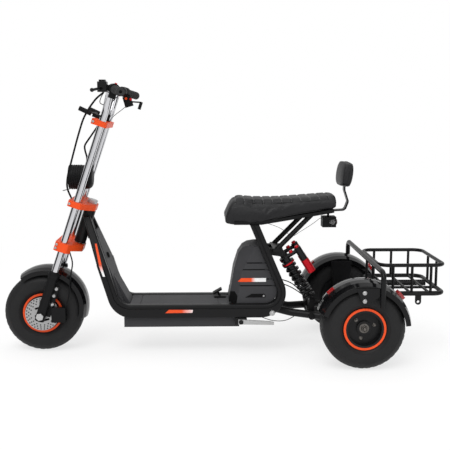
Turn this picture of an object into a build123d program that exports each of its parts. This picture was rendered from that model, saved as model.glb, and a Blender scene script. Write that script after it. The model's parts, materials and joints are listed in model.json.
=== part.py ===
"""Three-wheel electric scooter: raked front fork, low step-through frame, seat, rear axle and basket."""
from build123d import *
import os
from math import cos, hypot, radians, tan

# Driving dimensions, in millimetres and degrees.
# X runs forward from the rear axle, Y to the left and Z up from the floor.
WHEELBASE = 1381
TYRE_D = 350
TYRE_W = 150
RIM_D = 177
RIM_W = 126
TRACK = 600
RAKE = 18.8
FORK_Y = 105
FORK_OFFSET = 53
REAR_OVERHANG = 386

# Clearances.
FIT = 0.05
SEAT = 0.3
STEER_GAP = 5

# Wheels.
TYRE_R = TYRE_D / 2
RIM_R = RIM_D / 2
RIM_SEAT_R = 76
RIM_WALL = 6
FLANGE_T = 6
TREAD_W = 76
AXLE_D = 20
HUB_R = 30
REAR_HUB_IN = 50
REAR_HUB_OUT = 44
REAR_DISC_Y = 28
WHEEL_DISC_T = 6
HUB_CAP_T = 12
FRONT_HUB_RIGHT = 62
FRONT_HUB_LEFT = 76

# Front brake.
BRAKE_DISC_D = 150
BRAKE_DISC_T = 3.5
CALIPER_GAP = 1.5
CALIPER_W = 26
CALIPER_H = 42
CALIPER_L = 34
CALIPER_BRIDGE = 10
CALIPER_BODY_L = 62
CALIPER_BODY_H = 66
CALIPER_BRACKET_W = 18
CALIPER_BRACKET_H = 146

# Fork, measured up the fork from the front axle.
TUBE_D = 30
SLIDER_D = 42
SLIDER_TOP = 198
SLIDER_FOOT = 24
SLIDER_BORE = 70
SLIDER_COLLAR_D = 48
SLIDER_COLLAR_H = 18
LOWER_CLAMP_Z = 303
LOWER_CLAMP_T = 40
MIDDLE_CLAMP_Z = 505
MIDDLE_CLAMP_T = 26
UPPER_CLAMP_Z = 872
UPPER_CLAMP_T = 24
CLAMP_WALL = 9
CLAMP_AHEAD = 34
UPPER_CLAMP_AHEAD = 43
CLAMP_BACK = 26
CLAMP_BACK_HALF = 36
CLAMP_CORNER_R = 12
CLAMP_STEP = 12
STEM_D = 26
STEM_NUT_D = 44
STEM_NUT_T = 18
HEAD_TUBE_D = 52
BAR_Z = 1040
BAR_BEND_Z = 946
BAR_KNEE_AHEAD = 6
BAR_KNEE_Y = 132
BAR_END_BACK = 60
BAR_END_Y = 332
BAR_BEND_RADII = (60, 40)
GRIP_D = 36
GRIP_L = 115
GRIP_CAP_T = 8
POD_W = 26
POD_D = 46
POD_BOX_W = 16
KEY_BOX_BACK = 26
KEY_BOX_DROP = 36
KEY_BOX_TILT = 35
KEY_BACK = 86
LEVER_D = 11
LEVER_AHEAD = 52
LEVER_DROP = 30
LEVER_END = 32
PERCH_W = 22
FLUID_POT_AHEAD = 43
FLUID_POT_RISE = -6
FLUID_POT_SIZE = (38, 44, 42)
FLUID_LID_SIZE = (26, 34, 8)

# Lamps.
HEADLAMP_Z = 610
HEADLAMP_AHEAD = 76
HEADLAMP_D = 106
HEADLAMP_L = 104
HEADLAMP_RIM = 6
SIGNAL_Z = 912
SIGNAL_AHEAD = 60
SIGNAL_Y = 128
SIGNAL_D = 20
SIGNAL_L = 46
SIGNAL_BAR_D = 9

# Fenders.
FRONT_FENDER_R = 184
FRONT_FENDER_W = 148
FRONT_FENDER_BACK = 13
FRONT_FENDER_RISE = 24
FRONT_FENDER_FROM = 52
FRONT_FENDER_TO = 196
REAR_FENDER_R = 200
REAR_FENDER_W = 166
REAR_FENDER_FROM = 20
REAR_FENDER_TO = 174
FENDER_T = 3
FENDER_CROWN = 14
FENDER_SKIRT = 20

# Frame rails.
RAIL_IN_Y = 91
RAIL_W = 34
RAIL_H = 60
FRONT_BAND = 44
POST_BAND = 38
RAIL_BOTTOM_Z = 163
FRONT_CORNER_BACK = 323
REAR_CORNER_X = 246
FRONT_OUTER_R = 110
FRONT_INNER_R = 60
REAR_OUTER_R = 110
REAR_INNER_R = 52
FRONT_LEAN = 17
POST_LEAN = 23
NECK_Z = 400
NECK_TOP_Z = 606
NECK_ROOT = 8
NECK_STEP = 0.8
NECK_TOP_Y = 30
NECK_TOP_W = 22
NECK_TOP_BAND = 30
WEB_H = 100
SHIELD_TOP_Z = 545
WEDGE_TOP_Z = 345
WEDGE_BACK = 82
WEDGE_W = 124
POST_TOP_Z = 575
CROSS_D = 30
CROSS_BACK = 112
REAR_CROSS_X = 620
RAIL_EDGE_R = 7
RAIL_LIP = 15
RAIL_GROOVE_W = 4
RAIL_GROOVE_DEPTH = 3

# Body panels.
DECK_TOP_Z = 216
DECK_T = 12
DECK_FRONT_BACK = 36
DECK_REAR_X = 540
BELLY_FRONT_BACK = 42
BELLY_REAR_X = 507
BELLY_BOTTOM_Z = 119
BELLY_W = 204
PANEL_GAP = 1
BOX_W = 200
BOX_FRONT_X = 552
BOX_TOP_Z = 478
BOX_FRONT_CHAMFER = 34
BOX_SLOPE_W = 34
BOX_TOP_BACK = 84
BOX_WAIST_Z = 370
BOX_WAIST_BACK = 22
GROOVE_Z = (300, 330, 372, 402)
GROOVE_H = 5
GROOVE_DEPTH = 3

# Seat.
SEAT_W = 236
SEAT_PAN_T = 15
SEAT_FRONT_X = 577
SEAT_REAR_X = 76
SEAT_REAR_RISE = 55
SEAT_NOSE_H = 115
SEAT_DIP_H = 106
SEAT_TAIL_H = 125
SEAT_NOSE_L = 47
SEAT_SKIRT = 10
SEAT_SKIRT_L = 95
SEAT_EDGE_R = 10
STRUT_D = 22
STRUT_Y = 78
BACKREST_W = 200
BACKREST_H = 114
BACKREST_T = 62
BACKREST_R = 24
BACKREST_TILT = 8
BACKREST_X = 34
BACKREST_Z = 789
BACKREST_BAR_W = 34
BACKREST_BAR_T = 7

# Rear suspension and axle.
PIVOT_X = 375
PIVOT_Z = 196
PIVOT_PIN_D = 24
SLEEVE_D = 40
ARM_D = 34
ARM_Y = 120
ARM_ROOT_Y = 50
SHOCK_Y = 60
SHOCK_TOP_X = 315
SHOCK_TOP_Z = 441
SHOCK_FOOT_X = 180
SHOCK_FOOT_Z = 228
SHOCK_EYE_D = 26
SHOCK_EYE_W = 18
SHOCK_BOLT_D = 10
EAR_T = 6
DAMPER_D = 36
DAMPER_ROD_D = 14
SPRING_D = 58
SPRING_WIRE_D = 8
SPRING_TURNS = 7
RESERVOIR_D = 36
RESERVOIR_L = 64
RESERVOIR_OFFSET = 69
RESERVOIR_TOP = 78
RESERVOIR_NECK_D = 31
BRIDGE_D = 18
AXLE_TUBE_D = 60
DRIVE_D = 150
DRIVE_W = 170

# Basket, guard bar and stand.
BASKET_W = 396
BASKET_FRONT_X = -92
BASKET_TOP_Z = 409
BASKET_BOTTOM_Z = 284
BASKET_RING_D = 16
BASKET_BASE_D = 19
BASKET_BAR_D = 12
BASKET_CORNER_R = 46
GUARD_D = 22
GUARD_X = -64
GUARD_TOP_Z = 418
GUARD_FOOT_Z = 272
GUARD_R = 34
CARRIER_GAP = 14
GUSSET_H = 69
GUSSET_LEG_H = 35
STAND_X = 500
STAND_Z = 147
STAND_L = 145
STAND_T = 8
STAND_BOLT_D = 12
PEDAL_X = 590
PEDAL_Y = -40
PEDAL_H = 32

# Values that follow from the ones above.
WHEEL_Y = TRACK / 2
FRONT_END = WHEELBASE + TYRE_R
CENTRE_X = (FRONT_END - REAR_OVERHANG) / 2
AXLE_BORE_R = AXLE_D / 2 + FIT
FORK = Location((WHEELBASE, 0, TYRE_R), (0, -RAKE, 0))
RAIL_OUT_Y = RAIL_IN_Y + RAIL_W
RAIL_TOP_Z = RAIL_BOTTOM_Z + RAIL_H
FENDER_IN_Y = WHEEL_Y - REAR_FENDER_W / 2
FENDER_OUT_Y = WHEEL_Y + REAR_FENDER_W / 2
GUARD_Y = FENDER_OUT_Y + GUARD_D / 2 + SEAT
HEAD_BOTTOM = LOWER_CLAMP_Z + LOWER_CLAMP_T + STEER_GAP
HEAD_TOP = MIDDLE_CLAMP_Z - STEER_GAP
FRONT_CORNER_X = WHEELBASE - FRONT_CORNER_BACK
DECK_FRONT_X = FRONT_CORNER_X - DECK_FRONT_BACK
BELLY_FRONT_X = FRONT_CORNER_X - BELLY_FRONT_BACK
CROSS_X = (FRONT_CORNER_X - CROSS_BACK, REAR_CROSS_X)
BAR_SWEEP = (BAR_KNEE_AHEAD + BAR_END_BACK) / (BAR_END_Y - BAR_KNEE_Y)
GRIP_IN_Y = BAR_END_Y + GRIP_CAP_T - GRIP_L
CARRIER_Y = DRIVE_W / 2 + CARRIER_GAP
SIDES = (1, -1)


def save(node, *solids):
    """Write the solids of one node, moved so that the length is centred on the origin."""
    placed = [Pos(-CENTRE_X, 0, 0) * solid for solid in solids]
    export_step(placed[0] if len(placed) == 1 else Compound(children=placed), f"parts/{node}.step")


def rod(start, end, diameter):
    """Round bar between two points."""
    a, b = Vector(*start), Vector(*end)
    return extrude(Plane(origin=a, z_dir=b - a) * Circle(diameter / 2), (b - a).length)


def bent(points, radii, diameter):
    """Round bar along straight runs joined by arcs."""
    path = FilletPolyline(*points, radius=radii)
    return sweep(Plane(origin=path @ 0, z_dir=path % 0) * Circle(diameter / 2), path)


def slab(outline, y_low, y_high):
    """Plate of an outline in X and Z, from one Y to another."""
    plane = Plane(origin=(0, y_high, 0), x_dir=(1, 0, 0), z_dir=(0, -1, 0))
    return extrude(plane * make_face(outline), y_high - y_low)


def plate(points, y_low, y_high):
    """Straight-sided slab."""
    return slab(Polyline(*points, close=True), y_low, y_high)


def block(x0, x1, y0, y1, z0, z1):
    """Rectangular block between two corners."""
    return Pos((x0 + x1) / 2, (y0 + y1) / 2, (z0 + z1) / 2) * Box(x1 - x0, y1 - y0, z1 - z0)


def mirrored(solid):
    """A solid and its twin on the other side of the scooter."""
    return [solid, mirror(solid, Plane.XZ)]


def ring_solid(points, start=0, arc=360):
    """Ring of a section given as (radius, Y), turned about the Y axis from an angle above +X."""
    section = make_face(Polyline(*points, close=True))
    return Rot(0, -start, 0) * revolve(section, Axis.Y, -arc)


# Wheels

def tyre():
    bead = RIM_SEAT_R + SEAT
    bead_y = RIM_W / 2 - FLANGE_T - SEAT
    lip = RIM_R + 2.5
    side = TYRE_W / 2
    half = [(bead, bead_y), (lip, bead_y), ((TYRE_R + lip) / 2 - 6, side), (TYRE_R - 14, side - 13),
            (TYRE_R, TREAD_W / 2)]
    return ring_solid(half + [(r, -y) for r, y in reversed(half)])


def rim(hub_low, hub_high, disc_low, closed):
    """Steel rim with a dished wheel disc; a closed hub ends in a cap over the axle."""
    half = RIM_W / 2
    barrel = RIM_SEAT_R - RIM_WALL
    disc_high = disc_low + WHEEL_DISC_T
    points = [
        (AXLE_BORE_R, hub_low), (HUB_R, hub_low), (HUB_R, disc_low), (barrel, disc_low),
        (barrel, -half), (RIM_R, -half), (RIM_R, FLANGE_T - half), (RIM_SEAT_R, FLANGE_T - half),
        (RIM_SEAT_R, half - FLANGE_T), (RIM_R, half - FLANGE_T), (RIM_R, half), (barrel, half),
        (barrel, disc_high), (HUB_R, disc_high), (HUB_R, hub_high),
    ]
    if closed:
        points += [(0, hub_high), (0, hub_high - HUB_CAP_T), (AXLE_BORE_R, hub_high - HUB_CAP_T)]
    else:
        points += [(AXLE_BORE_R, hub_high)]
    return ring_solid(points)


front_centre = Pos(WHEELBASE, 0, TYRE_R)
rear_rim = rim(-REAR_HUB_IN, REAR_HUB_OUT, REAR_DISC_Y, True)
rear_wheels = {"left": Pos(0, WHEEL_Y, TYRE_R), "right": Pos(0, -WHEEL_Y, TYRE_R) * Rot(0, 0, 180)}


def brake_disc():
    """Drilled disc: two rings of holes and a ring of windows."""
    outer = BRAKE_DISC_D / 2
    shape = Circle(outer) - Circle(AXLE_D / 2 + 6)
    shape -= PolarLocations(outer - 6, 30) * Circle(2.5)
    shape -= PolarLocations(outer - 15, 24, 7.5) * Circle(2.5)
    shape -= PolarLocations(outer - 24, 18) * Circle(2.5)
    shape -= PolarLocations(HUB_R + 2, 4, 35) * SlotOverall(28, 9, rotation=70)
    plane = Plane(origin=(0, FRONT_HUB_LEFT, 0), x_dir=(1, 0, 0), z_dir=(0, 1, 0))
    return extrude(plane * shape, BRAKE_DISC_T)


# Fork: pieces are drawn upright above the front axle, with X ahead, then tilted by the rake.

def slider(s):
    body = Pos(0, s * FORK_Y, -SLIDER_FOOT) * Cylinder(
        SLIDER_D / 2, SLIDER_TOP + SLIDER_FOOT, align=(Align.CENTER, Align.CENTER, Align.MIN))
    collar = Pos(0, s * FORK_Y, SLIDER_TOP - SLIDER_COLLAR_H) * Cylinder(
        SLIDER_COLLAR_D / 2, SLIDER_COLLAR_H, align=(Align.CENTER, Align.CENTER, Align.MIN))
    tube_hole = rod((0, s * FORK_Y, SLIDER_TOP - SLIDER_BORE), (0, s * FORK_Y, SLIDER_TOP + 1), TUBE_D + 2 * SEAT)
    axle_hole = rod((0, s * (FORK_Y - SLIDER_D), 0), (0, s * (FORK_Y + SLIDER_D), 0), AXLE_D + 2 * SEAT)
    return body + collar - tube_hole - axle_hole


def bar_x(y):
    """Distance of the swept handlebar ahead of the fork tubes, at a distance from the middle."""
    return BAR_KNEE_AHEAD - (y - BAR_KNEE_Y) * BAR_SWEEP


def on_bar(s, y_in, y_out, diameter):
    """Round piece along the handlebar between two distances from the middle."""
    return rod((bar_x(y_in), s * y_in, BAR_Z), (bar_x(y_out), s * y_out, BAR_Z), diameter)


def fork_tube(s):
    """Fork leg that runs on above the upper clamp as one half of the handlebar."""
    points = [
        (0, s * FORK_Y, SLIDER_TOP - SLIDER_BORE),
        (0, s * FORK_Y, BAR_BEND_Z),
        (BAR_KNEE_AHEAD, s * BAR_KNEE_Y, BAR_Z),
        (bar_x(BAR_END_Y), s * BAR_END_Y, BAR_Z),
    ]
    return bent(points, BAR_BEND_RADII, TUBE_D)


def clamp(z, thickness, ahead, reach_back, half_back):
    """Fork clamp around both tubes, reaching back towards the steering stem."""
    side = TUBE_D / 2 + CLAMP_WALL
    end = FORK_Y + side
    points = [
        (ahead, -end), (ahead, end), (-side, end), (-reach_back, half_back),
        (-reach_back, -half_back), (-side, -end),
    ]
    plan = make_face(FilletPolyline(*points, radius=CLAMP_CORNER_R, close=True))
    body = extrude(Pos(0, 0, z) * plan, thickness)
    for s in SIDES:
        body -= rod((0, s * FORK_Y, z - 1), (0, s * FORK_Y, z + thickness + 1), TUBE_D + 2 * SEAT)
    return body


def stem_clamp(z, thickness):
    """Clamp with a hole for the steering stem."""
    body = clamp(z, thickness, CLAMP_AHEAD, FORK_OFFSET + CLAMP_BACK, CLAMP_BACK_HALF)
    return body - rod((-FORK_OFFSET, 0, z - 1), (-FORK_OFFSET, 0, z + thickness + 1), STEM_D + 2 * SEAT)


def lower_clamp():
    """Stem clamp whose bosses at the tubes reach lower than its arm."""
    side = TUBE_D / 2 + CLAMP_WALL
    step = block(-2 * FORK_OFFSET, -side, -FORK_Y, FORK_Y, LOWER_CLAMP_Z - 1, LOWER_CLAMP_Z + CLAMP_STEP)
    return stem_clamp(LOWER_CLAMP_Z, LOWER_CLAMP_T) - step


def steering_stem():
    nut_z = MIDDLE_CLAMP_Z + MIDDLE_CLAMP_T
    shaft = rod((-FORK_OFFSET, 0, LOWER_CLAMP_Z + CLAMP_STEP), (-FORK_OFFSET, 0, nut_z + 1), STEM_D)
    nut = extrude(Pos(-FORK_OFFSET, 0, nut_z) * RegularPolygon(STEM_NUT_D / 2, 6), STEM_NUT_T)
    return shaft + nut


def grip(s):
    body = on_bar(s, GRIP_IN_Y, BAR_END_Y + GRIP_CAP_T, GRIP_D)
    return body - on_bar(s, GRIP_IN_Y - 1, BAR_END_Y, TUBE_D + 2 * SEAT)


def bar_sleeve(s, offset, width, diameter):
    """Ring clamped on the handlebar, inboard of the grip."""
    y = GRIP_IN_Y - offset
    return on_bar(s, y - width, y, diameter) - on_bar(s, y - width - 1, y + 1, TUBE_D + 2 * SEAT)


PERCH_OFFSET = POD_W + 3
PERCH_Y = GRIP_IN_Y - PERCH_OFFSET - PERCH_W / 2
POD_Y = GRIP_IN_Y - 1 - POD_W / 2


def brake_lever(s):
    """Perch around the bar with a lever blade that ends in a ball."""
    ring = bar_sleeve(s, PERCH_OFFSET, PERCH_W, POD_D - 4)
    root = (bar_x(PERCH_Y) + TUBE_D / 2 + 7, s * PERCH_Y, BAR_Z - 6)
    knee = (root[0] + 26, s * (PERCH_Y + 26), BAR_Z - LEVER_DROP / 2)
    tip = (LEVER_AHEAD, s * (BAR_END_Y - LEVER_END), BAR_Z - LEVER_DROP)
    blade = bent([root, knee, tip], 20, LEVER_D)
    return ring + blade + Pos(*tip) * Sphere(LEVER_D * 0.75)


def fluid_pot():
    """Brake fluid pot ahead of the left perch, upright, with a lid and a neck back to the perch."""
    length, width, height = FLUID_POT_SIZE
    x = bar_x(PERCH_Y) + FLUID_POT_AHEAD
    upright = Pos(x, PERCH_Y, BAR_Z + FLUID_POT_RISE) * Rot(0, RAKE, 0)
    pot = upright * Box(length, width, height)
    lid = upright * Pos(0, 0, (height + FLUID_LID_SIZE[2]) / 2) * Box(*FLUID_LID_SIZE)
    root = bar_x(PERCH_Y) + TUBE_D / 2 + 5
    neck = block(root, x, PERCH_Y - PERCH_W / 2, PERCH_Y + PERCH_W / 2, BAR_Z - 10, BAR_Z + 10)
    return pot + lid + neck


def switch_pod():
    """Switch housing around the left bar."""
    ring = bar_sleeve(1, 1, POD_W, POD_D)
    return ring + Pos(bar_x(POD_Y), POD_Y, BAR_Z - POD_D / 2 - 4) * Box(30, POD_BOX_W, 24)


def key_box():
    """Throttle housing around the right bar, with the key lock below it and the key in its lock."""
    ring = bar_sleeve(-1, 1, POD_W, POD_D)
    x, z = bar_x(POD_Y), BAR_Z - KEY_BOX_DROP
    body = Pos(x - KEY_BOX_BACK, -POD_Y, z) * Rot(0, KEY_BOX_TILT, 0) * Box(38, POD_BOX_W, 50)
    key = rod((x - KEY_BOX_BACK, -POD_Y, z), (x - KEY_BACK, -POD_Y, z + 16), 7)
    fob = Pos(x - KEY_BACK, -POD_Y, z) * Box(14, 9, 36)
    return ring + body + key + fob - on_bar(-1, POD_Y - 2 * POD_W, POD_Y + POD_W, TUBE_D + 2 * SEAT)


def headlamp_shell():
    """Round bucket between the fork tubes, with an ear to each tube."""
    bucket = Pos(HEADLAMP_AHEAD, 0, HEADLAMP_Z) * Rot(0, 90 + RAKE, 0) * Cylinder(
        HEADLAMP_D / 2, HEADLAMP_L, align=(Align.CENTER, Align.CENTER, Align.MAX))
    bucket = fillet(bucket.edges().group_by(Axis.X)[0], 24)
    recess = Pos(HEADLAMP_AHEAD, 0, HEADLAMP_Z) * Rot(0, 90 + RAKE, 0) * Cylinder(
        HEADLAMP_D / 2 - HEADLAMP_RIM, 12, align=(Align.CENTER, Align.CENTER, Align.MAX))
    ear_end = FORK_Y - TUBE_D / 2 - SEAT
    ear = rod((0, -ear_end, HEADLAMP_Z + 8), (0, ear_end, HEADLAMP_Z + 8), 16)
    return bucket + ear - recess


def headlamp_lens():
    return Pos(HEADLAMP_AHEAD, 0, HEADLAMP_Z) * Rot(0, 90 + RAKE, 0) * Cylinder(
        HEADLAMP_D / 2 - HEADLAMP_RIM - SEAT, 12, align=(Align.CENTER, Align.CENTER, Align.MAX))


def turn_signals():
    """Cross bar ahead of the upper clamp with a lamp pointing ahead at each end and a foot on the clamp."""
    top = UPPER_CLAMP_Z + UPPER_CLAMP_T
    x, z = SIGNAL_AHEAD, SIGNAL_Z
    body = rod((x, -SIGNAL_Y, z), (x, SIGNAL_Y, z), SIGNAL_BAR_D) + block(UPPER_CLAMP_AHEAD - 24, x, -20, 20, top, z)
    for s in SIDES:
        body += rod((x - SIGNAL_BAR_D, s * SIGNAL_Y, z), (x + SIGNAL_L, s * SIGNAL_Y, z + 6), SIGNAL_D)
    return body


def fender_skin(radius, width, start, stop):
    """Crowned fender about the Y axis with a short skirt on each side."""
    half = width / 2
    edge = radius - FENDER_CROWN
    outer = [(edge - FENDER_SKIRT, half), (edge, half), (radius - FENDER_CROWN / 3, half * 0.62),
             (radius, half * 0.2)]
    inner = [(edge - FENDER_SKIRT, half - FENDER_T), (edge - FENDER_T, half - FENDER_T),
             (radius - FENDER_CROWN / 3 - FENDER_T, half * 0.62), (radius - FENDER_T, half * 0.2)]
    section = outer + [(r, -y) for r, y in reversed(outer)] + [(r, -y) for r, y in inner] + inner[::-1]
    return ring_solid(section, start, stop - start)


def front_fender():
    """Fender inside the fork, a little above and behind the wheel's centre, with a stay to each slider."""
    half = FRONT_FENDER_W / 2
    skin = fender_skin(FRONT_FENDER_R, FRONT_FENDER_W, FRONT_FENDER_FROM, FRONT_FENDER_TO)
    skin = Pos(WHEELBASE - FRONT_FENDER_BACK, 0, TYRE_R + FRONT_FENDER_RISE) * skin
    for s in SIDES:
        stay = Pos(0, s * (half + FORK_Y) / 2, SLIDER_TOP - 12) * Box(22, FORK_Y - half, 18)
        stay -= rod((0, s * FORK_Y, 0), (0, s * FORK_Y, SLIDER_TOP + 40), SLIDER_COLLAR_D + 2 * SEAT)
        skin += FORK * stay
    return skin


def caliper():
    """Brake caliper astride the disc behind the left slider, with a bracket along the slider."""
    mid_y = FRONT_HUB_LEFT + BRAKE_DISC_T / 2
    x = WHEELBASE - BRAKE_DISC_D / 2 + CALIPER_L / 2 - CALIPER_BRIDGE
    body = Pos(x, mid_y + 4, TYRE_R) * Box(CALIPER_L, CALIPER_W, CALIPER_H)
    slot = Pos(WHEELBASE, mid_y, TYRE_R) * Rot(90, 0, 0) * Cylinder(
        BRAKE_DISC_D / 2 + CALIPER_GAP, BRAKE_DISC_T + 2 * CALIPER_GAP)
    face_y = TYRE_W / 2 + STEER_GAP + 1
    body += Pos(x - CALIPER_L / 4, face_y + CALIPER_W / 2, TYRE_R) * Box(CALIPER_BODY_L, CALIPER_W, CALIPER_BODY_H)
    y = FORK_Y - SLIDER_D / 2 + 2
    bracket = FORK * block(-SLIDER_D / 2 - CALIPER_BRACKET_W, 0, y, y + 8, 0, CALIPER_BRACKET_H)
    arm = block(x, WHEELBASE - 10, y, y + 8, TYRE_R, TYRE_R + CALIPER_H / 2)
    return body - slot + arm + bracket - FORK * rod(
        (0, FORK_Y, -2 * SLIDER_D), (0, FORK_Y, SLIDER_TOP), SLIDER_D + 2 * SEAT)


def front_axle():
    """Axle through both sliders with a nut outside each and a spacer at each hub end."""
    end = FORK_Y + SLIDER_D / 2
    nut_t = 10
    shaft = rod((0, -end - nut_t, 0), (0, end + nut_t, 0), AXLE_D)
    for s in SIDES:
        plane = Plane(origin=(0, s * end, 0), z_dir=(0, s, 0))
        shaft += extrude(plane * RegularPolygon(17, 6), nut_t)
    inner = FORK_Y - SLIDER_D / 2
    shaft += rod((0, inner, 0), (0, FRONT_HUB_LEFT + BRAKE_DISC_T + 1, 0), AXLE_D + 8)
    shaft += rod((0, -inner, 0), (0, -FRONT_HUB_RIGHT - 1, 0), AXLE_D + 8)
    return shaft


# Cables held along the fork: (diameter, points in the tilted fork's own frame).
CABLES = [
    (8, [(20, 190, BAR_Z - 26.5), (42, 184, BAR_Z - 58), (62, 166, BAR_Z - 110), (74, 146, UPPER_CLAMP_Z + 8),
         (76, 126, UPPER_CLAMP_Z - 72), (74, 108, MIDDLE_CLAMP_Z + 195), (72, 94, MIDDLE_CLAMP_Z + 115),
         (62, 84, MIDDLE_CLAMP_Z + 67), (30, 78, MIDDLE_CLAMP_Z + 29.3)]),
    (8, [(30, -60, UPPER_CLAMP_Z - 1.4), (44, -50, UPPER_CLAMP_Z - 52), (60, -30, UPPER_CLAMP_Z - 112),
         (46, -14, HEADLAMP_Z + 128), (28, -4, HEADLAMP_Z + 106), (22, 0, HEADLAMP_Z + 76)]),
    (6, [(-30, 60, LOWER_CLAMP_Z - 1.8), (-60, 72, LOWER_CLAMP_Z - 41), (-68, 82, LOWER_CLAMP_Z - 98),
         (-84, 90, 140), (-92, 94, 100), (-90, 94, 66.2)]),
]


def cable(diameter, points):
    """Cable along hand-chosen points, with arcs as large as the runs allow."""
    radii = []
    for a, b, c in zip(points, points[1:], points[2:]):
        u, v = Vector(*b) - Vector(*a), Vector(*c) - Vector(*b)
        radii.append(0.45 * min(u.length, v.length) / tan(radians(u.get_angle(v) / 2)))
    return bent(points, radii, diameter)


# Frame

def front_edge_x(z):
    """X of the front edge of the rail's leaning front run."""
    return FRONT_CORNER_X + (z - RAIL_BOTTOM_Z) * tan(radians(FRONT_LEAN))


def post_edge_x(z):
    """X of the rear edge of the rail's seat post."""
    return REAR_CORNER_X + (z - RAIL_BOTTOM_Z) * tan(radians(POST_LEAN))


FRONT_BAND_X = FRONT_BAND / cos(radians(FRONT_LEAN))
POST_BAND_X = POST_BAND / cos(radians(POST_LEAN))


def rail_line(inset):
    """Inner edge of the rail, moved into the band by an inset."""
    top_z = RAIL_TOP_Z - inset
    front_x = inset / cos(radians(FRONT_LEAN)) - FRONT_BAND_X
    post_x = POST_BAND_X - inset / cos(radians(POST_LEAN))
    return FilletPolyline(
        (front_edge_x(NECK_Z) + front_x, NECK_Z), (front_edge_x(top_z) + front_x, top_z),
        (post_edge_x(top_z) + post_x, top_z), (post_edge_x(POST_TOP_Z) + post_x, POST_TOP_Z),
        radius=(FRONT_INNER_R + inset, REAR_INNER_R + inset))


def strip(first, second, y_low, y_high):
    """Slab between two lines that run side by side."""
    return slab(Curve() + [first, second, Line(first @ 0, second @ 0), Line(first @ 1, second @ 1)], y_low, y_high)


def rail():
    """Left rail: front run, deck run and seat post in one rounded band, with a neck that narrows to the head."""
    outer = FilletPolyline(
        (front_edge_x(NECK_Z), NECK_Z), (FRONT_CORNER_X, RAIL_BOTTOM_Z), (REAR_CORNER_X, RAIL_BOTTOM_Z),
        (post_edge_x(POST_TOP_Z), POST_TOP_Z), radius=(FRONT_OUTER_R, REAR_OUTER_R))
    band = strip(outer, rail_line(0), RAIL_IN_Y, RAIL_OUT_Y)
    long_edges = [e for e in band.edges() if abs(e.tangent_at(0.5).Y) < 0.5
                  and abs(e.center().Z - NECK_Z) > 1 and abs(e.center().Z - POST_TOP_Z) > 1]
    band = fillet(long_edges, RAIL_EDGE_R)
    groove_y = RAIL_OUT_Y - RAIL_GROOVE_DEPTH
    band -= strip(rail_line(RAIL_LIP), rail_line(RAIL_LIP + RAIL_GROOVE_W), groove_y, RAIL_OUT_Y + 1)
    low_z = NECK_Z - NECK_ROOT
    low_x = front_edge_x(low_z) - FRONT_BAND_X / 2
    top_x = front_edge_x(NECK_TOP_Z) - NECK_TOP_BAND / 2
    top_y = NECK_TOP_Y + NECK_TOP_W / 2
    low = Pos(low_x, (RAIL_IN_Y + RAIL_OUT_Y) / 2, low_z) * RectangleRounded(
        FRONT_BAND_X - 2 * NECK_STEP, RAIL_W - 2 * NECK_STEP, RAIL_EDGE_R)
    top = Pos(top_x, top_y, NECK_TOP_Z) * RectangleRounded(NECK_TOP_BAND, NECK_TOP_W, RAIL_EDGE_R)
    return band + loft([low, top])


def neck_in_y(z):
    """Y of the inner face of the left rail's neck at a height."""
    share = (z - NECK_Z + NECK_ROOT) / (NECK_TOP_Z - NECK_Z + NECK_ROOT)
    return RAIL_IN_Y + NECK_STEP + (NECK_TOP_Y - RAIL_IN_Y - NECK_STEP) * share


def head_tube():
    """Bearing tube for the steering stem, with a web back between the necks of the rails."""
    tube = FORK * rod((-FORK_OFFSET, 0, HEAD_BOTTOM), (-FORK_OFFSET, 0, HEAD_TOP), HEAD_TUBE_D)
    bore = FORK * rod((-FORK_OFFSET, 0, HEAD_BOTTOM - 1), (-FORK_OFFSET, 0, HEAD_TOP + 1), STEM_D + 2 * FIT)
    z_low, z_high = NECK_TOP_Z - WEB_H, NECK_TOP_Z
    x_low = front_edge_x(z_low) - FRONT_BAND_X
    x_high = front_edge_x(z_high) - FRONT_BAND_X
    half = NECK_TOP_Y - SEAT
    web = plate([(x_low + 22, z_low), (x_low + 60, z_low), (x_high + 44, z_high), (x_high + 22, z_high)], -half, half)
    return tube + web - bore


def cross_tubes():
    """Tubes between the rails: under the deck, at the rear bend and below the seat."""
    y = RAIL_IN_Y
    mid_z = (RAIL_BOTTOM_Z + RAIL_TOP_Z) / 2 - 4
    tubes = [rod((x, -y, mid_z), (x, y, mid_z), CROSS_D) for x in CROSS_X]
    seat_z = POST_TOP_Z - CROSS_D
    seat_x = post_edge_x(seat_z) + POST_BAND_X / 2
    tubes.append(rod((seat_x, -y, seat_z), (seat_x, y, seat_z), CROSS_D))
    tubes.append(rod((PIVOT_X, -y, PIVOT_Z), (PIVOT_X, y, PIVOT_Z), PIVOT_PIN_D))
    return tubes


def leg_shield():
    """Panel between the front runs of the rails, narrowing to the head tube, with a raised wedge at its foot."""
    half = RAIL_IN_Y - PANEL_GAP
    neck_half = neck_in_y(NECK_Z) - PANEL_GAP
    top_half = neck_in_y(SHIELD_TOP_Z) - PANEL_GAP
    # Stations up the panel: height, setback of its rider's face from the rail's front edge, thickness, half width.
    stations = [(DECK_TOP_Z, 62, 24, half), (NECK_Z, 45, 18, neck_half), (SHIELD_TOP_Z, 36, 9, top_half)]
    sections = []
    for z, setback, thickness, half_width in stations:
        x = front_edge_x(z) - setback + thickness / 2
        sections.append(Pos(x, 0, z) * Rectangle(thickness, 2 * half_width))
    foot_x = front_edge_x(DECK_TOP_Z)
    tip_x = front_edge_x(WEDGE_TOP_Z)
    wedge = plate([(foot_x - WEDGE_BACK, DECK_TOP_Z), (foot_x - 50, DECK_TOP_Z), (tip_x - 42, WEDGE_TOP_Z),
                   (tip_x - 51, WEDGE_TOP_Z)], -WEDGE_W / 2, WEDGE_W / 2)
    return loft(sections, ruled=True) + wedge


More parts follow.
